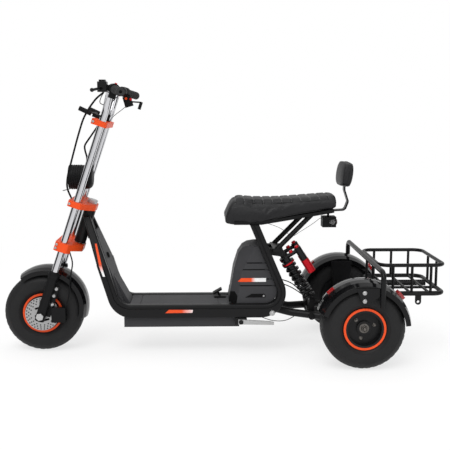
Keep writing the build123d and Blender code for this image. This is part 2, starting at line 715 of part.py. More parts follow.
def battery_box():
    """Box ahead of the seat post, with sloped front corners and louvre grooves across its sides."""
    half = BOX_W / 2
    floor_z = RAIL_TOP_Z
    back = POST_BAND_X + 2 * SEAT
    corner_x = post_edge_x(floor_z) + back
    points = [
        (BOX_FRONT_X, floor_z), (BOX_FRONT_X - 4, floor_z + 30), (BOX_FRONT_X - BOX_WAIST_BACK, BOX_WAIST_Z),
        (BOX_FRONT_X - BOX_TOP_BACK + 42, BOX_TOP_Z - 38), (BOX_FRONT_X - BOX_TOP_BACK + 22, BOX_TOP_Z - 10),
        (BOX_FRONT_X - BOX_TOP_BACK, BOX_TOP_Z),
        (post_edge_x(BOX_TOP_Z) + back, BOX_TOP_Z), (corner_x, floor_z),
    ]
    body = plate(points, -half, half)
    corner = body.edges().filter_by(Axis.Y).sort_by_distance((corner_x, 0, floor_z))[0]
    body = fillet(corner, REAR_INNER_R + 1)
    for s in SIDES:
        body -= front_slope(s * half)
    for z in GROOVE_Z:
        for s in SIDES:
            y = s * half
            body -= block(post_edge_x(z), BOX_FRONT_X, y - GROOVE_DEPTH, y + GROOVE_DEPTH, z, z + GROOVE_H)
    return body


def front_slope(y):
    """Wedge that slopes a front corner of the battery box off, from its foot to its top."""
    s = 1 if y > 0 else -1
    sections = []
    for x, z in ((BOX_FRONT_X, RAIL_TOP_Z - 1), (BOX_FRONT_X - BOX_WAIST_BACK, BOX_WAIST_Z),
                 (BOX_FRONT_X - BOX_TOP_BACK, BOX_TOP_Z + 1)):
        ahead = x + BOX_FRONT_CHAMFER
        corner = Polyline((x - BOX_FRONT_CHAMFER, y), (ahead, y - s * 2 * BOX_SLOPE_W), (ahead, y + s * 10),
                          (x - BOX_FRONT_CHAMFER, y + s * 10), close=True)
        sections.append(Pos(0, 0, z) * make_face(corner))
    return loft(sections, ruled=True)


# Seat

def pan_z(x):
    """Height of the underside of the seat pan."""
    return POST_TOP_Z + max(0, (PAN_BEND_X - x)) * SEAT_REAR_RISE / (PAN_BEND_X - SEAT_REAR_X)


PAN_BEND_X = post_edge_x(POST_TOP_Z) - 10


def seat_pan():
    half = SEAT_W / 2 - SEAT_SKIRT
    front, rear = SEAT_FRONT_X - SEAT_NOSE_L, SEAT_REAR_X + 18
    points = [
        (front, pan_z(front)), (PAN_BEND_X, POST_TOP_Z), (rear, pan_z(rear)),
        (rear, pan_z(rear) + SEAT_PAN_T), (PAN_BEND_X, POST_TOP_Z + SEAT_PAN_T), (front, pan_z(front) + SEAT_PAN_T),
    ]
    return plate(points, -half, half)


def seat_cushion():
    """Saddle whose nose and skirt hang over the front of the pan."""
    half = SEAT_W / 2
    base = SEAT_PAN_T + SEAT
    front, rear, floor_z = SEAT_FRONT_X, SEAT_REAR_X, POST_TOP_Z
    points = [
        (front - 10, floor_z + SEAT), (front, floor_z + base), (front - 24, floor_z + SEAT_NOSE_H - 30),
        (front - 55, floor_z + SEAT_NOSE_H), (front - 137, floor_z + SEAT_DIP_H),
        (front - 247, floor_z + SEAT_DIP_H + 1),
        (rear + 22, floor_z + SEAT_TAIL_H), (rear, floor_z + SEAT_TAIL_H - 18), (rear, pan_z(rear) + base),
        (PAN_BEND_X - SEAT_SKIRT_L, pan_z(PAN_BEND_X - SEAT_SKIRT_L) + base), (PAN_BEND_X, floor_z + SEAT),
    ]
    body = plate(points, -half, half)
    body = fillet(body.edges().filter_by(Axis.Y).group_by(Axis.Z)[-1], SEAT_EDGE_R)
    pan_front = front - SEAT_NOSE_L + SEAT
    pocket_half = half - SEAT_SKIRT + SEAT
    pocket = plate([(pan_front, floor_z - 1), (pan_front, floor_z + base), (PAN_BEND_X, floor_z + base),
                    (rear, pan_z(rear) + base), (rear, pan_z(rear) - 1), (PAN_BEND_X, floor_z - 1)],
                   -pocket_half, pocket_half)
    return body - pocket


def above_pan(y_low, y_high):
    """Room above the underside of the seat pan."""
    front, rear, top = SEAT_FRONT_X, SEAT_REAR_X, POST_TOP_Z + 2 * SEAT_TAIL_H
    return plate([(front, POST_TOP_Z), (PAN_BEND_X, POST_TOP_Z), (rear, pan_z(rear)), (rear, top), (front, top)],
                 y_low, y_high)


def struts():
    """Bar on each side from the shock bracket up to the seat pan."""
    foot = (SHOCK_TOP_X + 28, STRUT_Y, SHOCK_TOP_Z + 18.5)
    head = (SHOCK_TOP_X - 128, STRUT_Y, pan_z(SHOCK_TOP_X - 128) + 6)
    return mirrored(rod(foot, head, STRUT_D) - above_pan(0, SEAT_W) - shock_bracket())


def shock_bracket_bar():
    return block(SHOCK_TOP_X + 12, SHOCK_TOP_X + 44, -RAIL_IN_Y, RAIL_IN_Y, SHOCK_TOP_Z + 10, SHOCK_TOP_Z + 26)


def shock_bracket():
    """Cross tube between the posts with a pair of ears and a bolt for each shock."""
    z = SHOCK_TOP_Z + 10
    x = post_edge_x(z) + POST_BAND_X / 2
    body = rod((x, -RAIL_IN_Y, z), (x, RAIL_IN_Y, z), CROSS_D) + shock_bracket_bar()
    for s in SIDES:
        for y in (s * SHOCK_Y - SHOCK_EYE_W / 2 - PANEL_GAP - EAR_T, s * SHOCK_Y + SHOCK_EYE_W / 2 + PANEL_GAP):
            body += plate([(x, z + 12), (SHOCK_TOP_X, z + 12), (SHOCK_TOP_X - 14, SHOCK_TOP_Z),
                           (SHOCK_TOP_X, SHOCK_TOP_Z - 14), (x, z - 12)], y, y + EAR_T)
        body += rod((SHOCK_TOP_X, s * SHOCK_Y - SHOCK_EYE_W, SHOCK_TOP_Z),
                    (SHOCK_TOP_X, s * SHOCK_Y + SHOCK_EYE_W, SHOCK_TOP_Z), SHOCK_BOLT_D)
    return body


def backrest_bar():
    """Flat bar from under the seat's rear end, back and up in a curve to the pad."""
    x0 = SEAT_REAR_X + 60
    z0 = pan_z(x0) - BACKREST_BAR_T / 2 - 2 * SEAT
    z1 = pan_z(SEAT_REAR_X) - BACKREST_BAR_T / 2 - 2 * SEAT
    tilt = radians(BACKREST_TILT)
    pad_bottom = BACKREST_Z - BACKREST_H / 2 / cos(tilt) - BACKREST_BAR_T / 2 * tan(tilt)
    path = FilletPolyline(
        (x0, 0, z0), (SEAT_REAR_X - 4, 0, z1), (SEAT_REAR_X - 45, 0, z1 + 2), (SEAT_REAR_X - 59, 0, z1 + 40),
        (BACKREST_X, 0, pad_bottom - 14), (BACKREST_X, 0, pad_bottom - SEAT), radius=(20, 18, 18, 14))
    section = Plane(origin=path @ 0, x_dir=(0, 1, 0), z_dir=path % 0) * Rectangle(BACKREST_BAR_W, BACKREST_BAR_T)
    return sweep(section, path)


def backrest_pad():
    half = BACKREST_W / 2
    side_view = RectangleRounded(BACKREST_T, BACKREST_H, BACKREST_R)
    outline = Pos(BACKREST_X, BACKREST_Z) * Rot(0, 0, BACKREST_TILT) * side_view
    plane = Plane(origin=(0, half, 0), x_dir=(1, 0, 0), z_dir=(0, -1, 0))
    return extrude(plane * outline, BACKREST_W)


# Rear suspension and axle

SHOCK_DX = SHOCK_FOOT_X - SHOCK_TOP_X
SHOCK_DZ = SHOCK_FOOT_Z - SHOCK_TOP_Z
SHOCK_L = hypot(SHOCK_DX, SHOCK_DZ)


def shock_frame(s):
    """Frame at a shock's top bolt with Z down the shock and X to its rear."""
    return Plane(origin=(SHOCK_TOP_X, s * SHOCK_Y, SHOCK_TOP_Z), x_dir=(SHOCK_DZ, 0, -SHOCK_DX),
                 z_dir=(SHOCK_DX, 0, SHOCK_DZ)).location


def damper():
    """Damper with its spring seats, and a bridge to the neck that carries the reservoir behind it."""
    eye_z = SHOCK_EYE_D / 2
    bridge_z = eye_z + BRIDGE_D / 2 + 4
    body = rod((0, 0, eye_z - 4), (0, 0, eye_z + 12), SHOCK_EYE_W - 2)
    body += rod((0, 0, eye_z + 10), (0, 0, SHOCK_L * 0.6), DAMPER_D)
    body += rod((0, 0, SHOCK_L * 0.5), (0, 0, SHOCK_L - eye_z + 4), DAMPER_ROD_D)
    body += rod((0, 0, SPRING_TOP - 10), (0, 0, SPRING_TOP), SPRING_D)
    body += rod((0, 0, SPRING_FOOT), (0, 0, SPRING_FOOT + 8), SPRING_D)
    body += rod((0, 0, bridge_z), (RESERVOIR_OFFSET, 0, bridge_z), BRIDGE_D)
    body += rod((RESERVOIR_OFFSET, 0, eye_z), (RESERVOIR_OFFSET, 0, RESERVOIR_TOP - SEAT), RESERVOIR_NECK_D)
    for z in (0, SHOCK_L):
        body += rod((0, -SHOCK_EYE_W / 2, z), (0, SHOCK_EYE_W / 2, z), SHOCK_EYE_D)
    for z in (0, SHOCK_L):
        body -= rod((0, -SHOCK_EYE_W, z), (0, SHOCK_EYE_W, z), SHOCK_BOLT_D + 2 * SEAT)
    return body


SPRING_TOP = SHOCK_EYE_D / 2 + 42
SPRING_FOOT = SHOCK_L - SHOCK_EYE_D / 2 - 14


def spring():
    """Coil of half turns, each a half circle tilted by half the pitch."""
    r = (SPRING_D - SPRING_WIRE_D) / 2
    z0 = SPRING_TOP + SPRING_WIRE_D / 2 + SEAT
    rise = (SPRING_FOOT - SPRING_TOP - SPRING_WIRE_D - 2 * SEAT) / (2 * SPRING_TURNS)
    coil = []
    for i in range(2 * SPRING_TURNS):
        s = 1 if i % 2 == 0 else -1
        z = z0 + i * rise
        axis = Axis((0, 0, z + rise / 2), (-s * rise, 0, 2 * r))
        wire = Plane(origin=(-s * r, 0, z), z_dir=(0, s, 0)) * Circle(SPRING_WIRE_D / 2)
        coil.append(revolve(wire, axis, -180))
    return coil[0].fuse(*coil[1:])


def reservoir():
    """Reservoir under the neck behind the shock."""
    x = RESERVOIR_OFFSET
    return rod((x, 0, RESERVOIR_TOP), (x, 0, RESERVOIR_TOP + RESERVOIR_L), RESERVOIR_D)


def swing_arm():
    """Two arms from the pivot sleeve to the axle, with a cross tube and lugs for the shocks."""
    sleeve_y = RAIL_IN_Y - STEER_GAP
    body = rod((PIVOT_X, -sleeve_y, PIVOT_Z), (PIVOT_X, sleeve_y, PIVOT_Z), SLEEVE_D)
    cross = (SHOCK_FOOT_X + 6, SHOCK_FOOT_Z - 62)
    body += rod((cross[0], -ARM_Y, cross[1]), (cross[0], ARM_Y, cross[1]), CROSS_D)
    for s in SIDES:
        body += bent([(PIVOT_X, s * ARM_ROOT_Y, PIVOT_Z), (PIVOT_X - 100, s * (ARM_ROOT_Y + 12), cross[1] + 6),
                      (cross[0] - 60, s * ARM_Y, cross[1]), (0, s * ARM_Y, TYRE_R)], (70, 70), ARM_D)
        for y in (s * SHOCK_Y - SHOCK_EYE_W / 2 - PANEL_GAP - EAR_T, s * SHOCK_Y + SHOCK_EYE_W / 2 + PANEL_GAP):
            body += plate([(cross[0] + 14, cross[1]), (SHOCK_FOOT_X + 14, SHOCK_FOOT_Z),
                           (SHOCK_FOOT_X, SHOCK_FOOT_Z + 14), (SHOCK_FOOT_X - 14, SHOCK_FOOT_Z),
                           (cross[0] - 14, cross[1])], y, y + EAR_T)
        body += rod((SHOCK_FOOT_X, s * SHOCK_Y - SHOCK_EYE_W, SHOCK_FOOT_Z),
                    (SHOCK_FOOT_X, s * SHOCK_Y + SHOCK_EYE_W, SHOCK_FOOT_Z), SHOCK_BOLT_D)
    body -= rod((PIVOT_X, -RAIL_IN_Y, PIVOT_Z), (PIVOT_X, RAIL_IN_Y, PIVOT_Z), PIVOT_PIN_D + 2 * SEAT)
    return body - rod((0, -WHEEL_Y, TYRE_R), (0, WHEEL_Y, TYRE_R), AXLE_TUBE_D + 2 * SEAT)


def drive_axle():
    """Axle tube with the drive case at its middle and a shaft into each rear hub."""
    tube_y = WHEEL_Y - REAR_HUB_IN - STEER_GAP
    shaft_y = WHEEL_Y + REAR_HUB_OUT - HUB_CAP_T - 1
    body = rod((0, -tube_y, TYRE_R), (0, tube_y, TYRE_R), AXLE_TUBE_D)
    body += rod((0, -shaft_y, TYRE_R), (0, shaft_y, TYRE_R), AXLE_D)
    body += rod((0, -DRIVE_W / 2, TYRE_R), (0, DRIVE_W / 2, TYRE_R), DRIVE_D)
    return body


def rear_fender():
    """Left rear fender with its gusset."""
    skin = fender_skin(REAR_FENDER_R, REAR_FENDER_W, REAR_FENDER_FROM, REAR_FENDER_TO)
    return Pos(0, WHEEL_Y, TYRE_R) * skin + fender_gusset()


def fender_stay():
    """Upright plate from the axle tube to the inner skirt of the left fender."""
    y = FENDER_IN_Y
    top = TYRE_R + REAR_FENDER_R - FENDER_CROWN - FENDER_SKIRT / 2
    body = plate([(-34, TYRE_R), (34, TYRE_R), (50, top), (-50, top)], y - 5, y)
    return body - rod((0, 0, TYRE_R), (0, WHEEL_Y, TYRE_R), AXLE_TUBE_D + 2 * SEAT)


def fender_gusset():
    """Plate on the outer skirt of the left fender that carries the guard bar's leg."""
    top = TYRE_R + REAR_FENDER_R - FENDER_CROWN - 8
    leg_x = GUARD_X + GUARD_D / 2 + SEAT
    foot_z = top - GUSSET_H
    return plate([(44, top), (leg_x, top), (leg_x, top - GUSSET_LEG_H), (-2, foot_z), (16, foot_z)],
                 FENDER_OUT_Y, FENDER_OUT_Y + 5)


def guard_bar():
    """Bar across both fenders, turned down outside each."""
    points = [(GUARD_X, -GUARD_Y, GUARD_FOOT_Z), (GUARD_X, -GUARD_Y, GUARD_TOP_Z), (GUARD_X, GUARD_Y, GUARD_TOP_Z),
              (GUARD_X, GUARD_Y, GUARD_FOOT_Z)]
    return bent(points, GUARD_R, GUARD_D)


# Basket

BASKET_REAR_X = -REAR_OVERHANG + BASKET_BASE_D / 2


def basket_ring(z, diameter):
    """Closed ring with rounded corners."""
    length = BASKET_FRONT_X - BASKET_REAR_X
    outline = Pos((BASKET_FRONT_X + BASKET_REAR_X) / 2, 0, z) * RectangleRounded(
        length, BASKET_W - diameter, BASKET_CORNER_R)
    path = outline.wire()
    return sweep(Plane(origin=path @ 0, z_dir=path % 0) * Circle(diameter / 2), path)


def basket():
    """Top ring, base of a ring with floor bars, and the uprights that stand between the two."""
    half = (BASKET_W - BASKET_RING_D) / 2
    low = BASKET_BOTTOM_Z + BASKET_BASE_D / 2 + SEAT
    high = BASKET_TOP_Z - BASKET_RING_D / 2 - SEAT
    base = basket_ring(BASKET_BOTTOM_Z, BASKET_BASE_D) + tow_tab()
    uprights = []
    for x in BASKET_BAR_X:
        base += rod((x, -half, BASKET_BOTTOM_Z), (x, half, BASKET_BOTTOM_Z), BASKET_BAR_D)
        uprights += [rod((x, s * half, low), (x, s * half, high), BASKET_BAR_D) for s in SIDES]
    for y in BASKET_BAR_Y:
        base += rod((BASKET_FRONT_X, y, BASKET_BOTTOM_Z), (BASKET_REAR_X, y, BASKET_BOTTOM_Z), BASKET_BAR_D)
        uprights += [rod((x, y, low), (x, y, high), BASKET_BAR_D) for x in (BASKET_FRONT_X, BASKET_REAR_X)]
    return [basket_ring(BASKET_TOP_Z, BASKET_RING_D), base, *uprights]


BASKET_BAR_X = [BASKET_FRONT_X - 60, (BASKET_FRONT_X + BASKET_REAR_X) / 2, BASKET_REAR_X + 60]
BASKET_BAR_Y = [-BASKET_W / 6, BASKET_W / 6]


def carrier():
    """Two bars from the axle tube back under the basket's floor."""
    bars = []
    for s in SIDES:
        y = s * CARRIER_Y
        top = BASKET_BOTTOM_Z - BASKET_BASE_D / 2 - SEAT - 10
        bar = bent([(0, y, TYRE_R), (-70, y, top), (BASKET_REAR_X, y, top)], 40, 20)
        bars.append(bar - rod((0, -WHEEL_Y, TYRE_R), (0, WHEEL_Y, TYRE_R), AXLE_TUBE_D + 2 * SEAT))
    return bars


def tow_tab():
    """Tab with a hole, hanging below the left floor rail of the basket."""
    half = (BASKET_W - BASKET_BASE_D) / 2
    x, top = BASKET_REAR_X + 112, BASKET_BOTTOM_Z
    tab = plate([(x - 13, top), (x + 13, top), (x + 13, top - 36), (x - 13, top - 36)], half - 3, half + 3)
    tab += Pos(x, half, top - 36) * Rot(90, 0, 0) * Cylinder(13, 6)
    return tab - rod((x, half - 10, top - 36), (x, half + 10, top - 36), 12)


# Side stand

def side_stand():
    """Flat leg, folded back along the frame, with a foot at its end."""
    y = RAIL_OUT_Y + 1
    leg = plate([(STAND_X + 12, STAND_Z - 11), (STAND_X + 12, STAND_Z + 11), (STAND_X - STAND_L + 16, STAND_Z + 2),
                 (STAND_X - STAND_L, STAND_Z - 2), (STAND_X - STAND_L, STAND_Z - 14)], y, y + STAND_T)
    return leg - rod((STAND_X, y - 1, STAND_Z), (STAND_X, y + STAND_T + 1, STAND_Z), STAND_BOLT_D + 2 * FIT)


def stand_bracket():
    """Plate below the left rail with the stand's pivot bolt."""
    y = RAIL_OUT_Y
    body = plate([(STAND_X - 26, STAND_Z - 14), (STAND_X + 26, STAND_Z - 14), (STAND_X + 26, RAIL_BOTTOM_Z),
                  (STAND_X - 26, RAIL_BOTTOM_Z)], y - 12, y)
    body += rod((STAND_X, y - 1, STAND_Z), (STAND_X, y + STAND_T + 6, STAND_Z), STAND_BOLT_D)
    return body + rod((STAND_X, y + STAND_T + 2, STAND_Z), (STAND_X, y + STAND_T + 7, STAND_Z), STAND_BOLT_D + 8)


# Small lamps and controls

# Lenses on the left rear fender: (angle above +X, (length, width, height)).
FENDER_LAMPS = [
    (140, (36, 40, 12)),
    (48, (34, 26, 6)),
]


def fender_lamp(angle, size):
    """Lens block on the outside of the left fender at an angle above +X."""
    length, width, height = size
    place = Pos(0, WHEEL_Y, TYRE_R) * Rot(0, -angle, 0) * Pos(REAR_FENDER_R - 0.5, 0, 0)
    lens = place * Box(height, width, length, align=(Align.MIN, Align.CENTER, Align.CENTER))
    return lens - Pos(0, WHEEL_Y, TYRE_R) * Rot(90, 0, 0) * Cylinder(REAR_FENDER_R + SEAT, 2 * REAR_FENDER_W)


def seat_lamp():
    """Lamp cluster hung from a stalk under the rear of the seat."""
    x = SEAT_REAR_X + 34
    top = pan_z(x)
    stalk = rod((x, 40, top - 44), (x, 40, top + 8), 10)
    lamp = Pos(x - 2, 40, top - 44) * Box(60, 60, 46)
    return stalk + lamp - above_pan(-SEAT_W, SEAT_W)


def foot_pedal():
    """Foot brake on the deck: a base, a stem and a tread plate."""
    x, y, top = PEDAL_X, PEDAL_Y, DECK_TOP_Z + PEDAL_H
    body = block(x - 26, x + 26, y - 18, y + 18, DECK_TOP_Z, DECK_TOP_Z + 10)
    body += rod((x, y, DECK_TOP_Z + 8), (x + 12, y, top), 10)
    return body + Pos(x + 12, y, top) * Rot(0, 30, 0) * Box(44, 40, 8)


os.makedirs("parts", exist_ok=True)

save("front_tyre", front_centre * tyre())
save("front_rim", front_centre * rim(-FRONT_HUB_RIGHT, FRONT_HUB_LEFT, -WHEEL_DISC_T / 2, False))
save("front_brake_disc", front_centre * brake_disc())
for side, place in rear_wheels.items():
    save(f"rear_{side}_tyre", place * tyre())
    save(f"rear_{side}_rim", place * rear_rim)

save("fork_sliders", *[FORK * slider(s) for s in SIDES])
save("fork_tubes", *[FORK * fork_tube(s) for s in SIDES])
save("lower_clamp", FORK * lower_clamp())
save("middle_clamp", FORK * stem_clamp(MIDDLE_CLAMP_Z, MIDDLE_CLAMP_T))
save("upper_clamp", FORK * clamp(UPPER_CLAMP_Z, UPPER_CLAMP_T, UPPER_CLAMP_AHEAD, CLAMP_BACK, FORK_Y))
save("steering_stem", FORK * steering_stem())
save("grips", *[FORK * grip(s) for s in SIDES])
save("brake_levers", FORK * (brake_lever(1) + fluid_pot()), FORK * brake_lever(-1))
save("bar_controls", FORK * switch_pod(), FORK * key_box())
save("headlamp_shell", FORK * headlamp_shell())
save("headlamp_lens", FORK * headlamp_lens())
save("turn_signals", FORK * turn_signals())
save("front_fender", front_fender())
save("front_brake_caliper", caliper())
save("front_axle", FORK * front_axle())
save("control_cables", *[FORK * cable(*row) for row in CABLES])

save("frame_rails", *mirrored(rail()))
save("head_tube", head_tube())
save("cross_members", *cross_tubes(), shock_bracket())
save("leg_shield", leg_shield())
deck_half = RAIL_IN_Y - PANEL_GAP
save("deck_floor", block(DECK_REAR_X, DECK_FRONT_X, -deck_half, deck_half, DECK_TOP_Z - DECK_T, DECK_TOP_Z))
save("belly_case", block(BELLY_REAR_X, BELLY_FRONT_X, -BELLY_W / 2, BELLY_W / 2, BELLY_BOTTOM_Z, RAIL_BOTTOM_Z))
save("battery_box", battery_box())
save("seat_pan", seat_pan())
save("seat_cushion", seat_cushion())
save("seat_struts", *struts())
save("backrest_bar", backrest_bar())
save("backrest_pad", backrest_pad())
save("shock_dampers", *[shock_frame(s) * damper() for s in SIDES])
save("shock_springs", *[shock_frame(s) * spring() for s in SIDES])
save("shock_reservoirs", *[shock_frame(s) * reservoir() for s in SIDES])
save("swing_arm", swing_arm())
save("drive_axle", drive_axle())
save("rear_fenders", *mirrored(rear_fender()))
save("fender_stays", *mirrored(fender_stay()))
save("guard_bar", guard_bar())
save("basket", *basket())
save("carrier_bars", *carrier())
save("fender_lamps", *[lens for row in FENDER_LAMPS for lens in mirrored(fender_lamp(*row))])
save("seat_rear_lamp", seat_lamp())
save("foot_brake_pedal", foot_pedal())
save("side_stand", side_stand())
save("stand_bracket", stand_bracket())
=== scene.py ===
import json
from math import cos, pi, radians, sin, sqrt

import bpy
from mathutils import Matrix, Vector


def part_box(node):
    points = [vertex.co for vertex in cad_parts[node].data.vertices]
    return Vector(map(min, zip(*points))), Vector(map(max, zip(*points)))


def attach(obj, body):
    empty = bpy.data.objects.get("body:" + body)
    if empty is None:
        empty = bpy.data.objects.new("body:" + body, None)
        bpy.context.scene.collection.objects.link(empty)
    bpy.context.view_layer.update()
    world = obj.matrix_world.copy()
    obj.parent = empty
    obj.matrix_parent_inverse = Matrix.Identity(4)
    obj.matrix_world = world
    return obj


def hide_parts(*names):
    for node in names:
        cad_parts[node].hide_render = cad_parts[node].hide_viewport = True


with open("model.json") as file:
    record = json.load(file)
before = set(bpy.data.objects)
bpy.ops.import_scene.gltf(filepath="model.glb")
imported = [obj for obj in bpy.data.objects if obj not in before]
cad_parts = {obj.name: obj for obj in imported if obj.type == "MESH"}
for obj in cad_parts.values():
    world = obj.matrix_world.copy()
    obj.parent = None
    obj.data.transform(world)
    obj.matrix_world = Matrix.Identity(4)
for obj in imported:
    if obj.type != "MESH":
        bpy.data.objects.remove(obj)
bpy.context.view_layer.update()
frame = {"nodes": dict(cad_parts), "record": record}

bl_info = {
    "name": "Three-wheel scooter finish",
    "version": (1, 0, 0),
    "blender": (4, 5, 0),
    "location": "View3D > Sidebar > Scooter",
    "description": "Dresses the packed three-wheel scooter with tyres, seat, trim, materials and a studio",
    "category": "Object",
}

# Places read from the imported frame, in metres.
JOINTS = {joint["name"]: joint for joint in frame["record"]["behaviour"]["joints"]}
STEER_AXIS = Vector(JOINTS["steering"]["axis"]).normalized()
AHEAD = Vector((0, 1, 0)).cross(STEER_AXIS)
SIDES = (1, -1)
REAR_AXLE = Vector(JOINTS["rear_left_wheel_spin"]["pos_m"])
FRONT_AXLE = Vector(JOINTS["front_wheel_spin"]["pos_m"])
WHEELS = {"front": FRONT_AXLE, "rear_left": REAR_AXLE,
          "rear_right": Vector(JOINTS["rear_right_wheel_spin"]["pos_m"])}
X_AXIS, Y_AXIS, Z_AXIS = Vector((1, 0, 0)), Vector((0, 1, 0)), Vector((0, 0, 1))


def low(node):
    """Lowest corner of a CAD node."""
    return Vector(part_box(node)[0])


def high(node):
    """Highest corner of a CAD node."""
    return Vector(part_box(node)[1])


def middle(node):
    """Centre of a CAD node's box."""
    return (low(node) + high(node)) / 2


def reach(node, direction):
    """Least and greatest distance of a CAD node's points along a direction from the front axle."""
    obj = frame["nodes"][node]
    spans = [(vertex.co - FRONT_AXLE).dot(direction) for vertex in obj.data.vertices]
    return min(spans), max(spans)


def on_fork(ahead, left, up):
    """Point in the tilted fork's own frame, measured from the front axle."""
    return FRONT_AXLE + AHEAD * ahead + Y_AXIS * left + STEER_AXIS * up


def from_rear(x, y, z):
    """Point measured forward from the rear axle, to the left of the middle and up from the floor."""
    return Vector((REAR_AXLE.x + x, y, z))


# Settings

def length(label, text, default):
    return bpy.props.FloatProperty(name=label, description=text, default=default, unit="LENGTH", precision=4)


def paint(label, text, default):
    return bpy.props.FloatVectorProperty(name=label, description=text, default=default, size=3,
                                         subtype="COLOR", min=0.0, max=1.0)


class ScooterSizes(bpy.types.PropertyGroup):
    """Sizes of the added pieces."""
    tread_height: length("Tread height", "Height of the tread blocks", 0.0014)
    tread_steps: bpy.props.IntProperty(name="Tread steps", description="Tread blocks around a tyre",
                                       default=108)
    grip_rib: length("Grip rib", "Height of the grips' ribs", 0.0012)
    rib_pitch: length("Seat rib pitch", "Distance between the seat's sewn channels", 0.041)
    rib_depth: length("Seat rib depth", "Depth of the seat's sewn channels", 0.005)
    thread: length("Thread", "Diameter of the seat's stitches", 0.0012)
    swell: length("Padding swell", "Furthest that padding may swell", 0.007)
    voxel: length("Padding voxel", "Size of the remesh under the padding", 0.005)
    piping: length("Piping", "Diameter of the seat's piping", 0.005)
    wire: length("Wire", "Diameter of the thin wires", 0.004)
    decal: length("Stripe thickness", "Thickness of the coloured stripes", 0.0005)
    bolt: length("Bolt head", "Width of an ordinary bolt head", 0.013)
    floor: length("Floor", "Width of the studio floor", 60.0)
    sun: bpy.props.FloatProperty(name="Sun", description="Strength of the soft sun", default=1.1)
    world: bpy.props.FloatProperty(name="World", description="Strength of the even light", default=0.6)
    lens: bpy.props.FloatProperty(name="Camera lens", description="Focal length in millimetres",
                                  default=61.17)
    camera: bpy.props.FloatVectorProperty(name="Camera place", description="Where the camera stands", size=3,
                                          default=(0.0669, 3.3995, 1.0531), unit="LENGTH")
    camera_yaw: bpy.props.FloatProperty(name="Camera yaw", description="Turn towards the rear",
                                        unit="ROTATION",
                                        default=radians(1.42))
    camera_pitch: bpy.props.FloatProperty(name="Camera pitch", description="Tilt towards the floor",
                                          unit="ROTATION", default=radians(8.26))


class ScooterColours(bpy.types.PropertyGroup):
    """Colours of the finishes."""
    black: paint("Black paint", "Satin paint on frame and fork", (0.007, 0.007, 0.0075))
    gloss: paint("Gloss black", "Fenders", (0.004, 0.004, 0.0045))
    charcoal: paint("Charcoal plastic", "Leg shield and belly", (0.042, 0.042, 0.045))
    grey: paint("Box plastic", "Battery box", (0.045, 0.045, 0.048))
    mat: paint("Deck mat", "Rubber on the deck", (0.075, 0.075, 0.078))
    orange: paint("Orange", "Clamps, rims and stripes", (0.76, 0.075, 0.014))
    white: paint("White stripe", "Pale end of the stripes", (0.78, 0.78, 0.78))
    rubber: paint("Tyre rubber", "Tyres", (0.015, 0.015, 0.0155))
    grip: paint("Grip rubber", "Grips", (0.035, 0.035, 0.036))
    vinyl: paint("Seat vinyl", "Seat and backrest", (0.009, 0.009, 0.01))
    thread: paint("Thread", "Stitches of the seat", (0.2, 0.2, 0.2))
    steel: paint("Steel", "Disc, nuts and bolts", (0.5, 0.5, 0.5))
    iron: paint("Dark steel", "Hub nuts and their bolts", (0.14, 0.13, 0.12))
    chrome: paint("Chrome", "Fork tubes", (0.62, 0.62, 0.64))
    red: paint("Red", "Reservoirs and collars", (0.5, 0.012, 0.02))
    lens_red: paint("Red lens", "Rear lamps", (0.45, 0.008, 0.008))
    amber: paint("Amber lens", "Turn signals", (0.8, 0.25, 0.01))
    floor: paint("Floor", "Studio floor", (0.98, 0.98, 0.98))


def sizes():
    return bpy.context.scene.scooter_sizes


def colours():
    return bpy.context.scene.scooter_colours


# Modelling helpers

def start():
    """Leave edit mode and deselect everything."""
    if bpy.context.mode != "OBJECT":
        bpy.ops.object.mode_set(mode="OBJECT")
    bpy.ops.object.select_all(action="DESELECT")


def pick(obj):
    """Make one object the only selected and active one."""
    start()
    obj.select_set(True)
    bpy.context.view_layer.objects.active = obj


def edit_all(obj):
    """Open an object in edit mode with everything selected."""
    pick(obj)
    bpy.ops.object.mode_set(mode="EDIT")
    bpy.ops.mesh.select_mode(type="FACE")
    bpy.ops.mesh.select_all(action="SELECT")


def edit_faces(obj, wanted):
    """Open an object in edit mode with the faces selected that a test picks."""
    pick(obj)
    bpy.ops.object.mode_set(mode="EDIT")
    bpy.ops.mesh.select_mode(type="FACE")
    bpy.ops.mesh.select_all(action="DESELECT")
    bpy.ops.object.mode_set(mode="OBJECT")
    for face in obj.data.polygons:
        face.select = bool(wanted(face))
    bpy.ops.object.mode_set(mode="EDIT")


def close_edit():
    bpy.ops.object.mode_set(mode="OBJECT")


def place(obj, matrix):
    """Put a matrix into an object's mesh."""
    obj.data.transform(matrix)
    obj.data.update()
    return obj


def facing(origin, axis):
    """Matrix that stands a piece's own Z along an axis at a point."""
    return Matrix.Translation(origin) @ Vector(axis).to_track_quat("Z", "Y").to_matrix().to_4x4()


def modify(obj, kind, **settings):
    """Add a modifier and apply it."""
    pick(obj)
    modifier = obj.modifiers.new(kind.lower(), kind)
    for name, value in settings.items():
        setattr(modifier, name, value)
    bpy.ops.object.modifier_apply(modifier=modifier.name)
    return obj


def join(pieces):
    """Join pieces into the first."""
    if len(pieces) > 1:
        start()
        for piece in pieces:
            piece.select_set(True)
        bpy.context.view_layer.objects.active = pieces[0]
        bpy.ops.object.join()
    return pieces[0]


def copy_of(obj, matrix):
    """Copy with a mesh of its own, moved by a matrix."""
    twin = obj.copy()
    twin.data = obj.data.copy()
    bpy.context.collection.objects.link(twin)
    return place(twin, matrix)


def finish(obj, name, body, material, replaced=(), angle=35):
    """Name a finished piece, smooth it, paint it and let it ride on its body."""
    obj.name = name
    obj.data.name = name
    pick(obj)
    bpy.ops.object.shade_smooth_by_angle(angle=radians(angle))
    if material is not None:
        obj.data.materials.clear()
        obj.data.materials.append(material)
    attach(obj, body)
    if replaced:
        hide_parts(*replaced)
    return obj


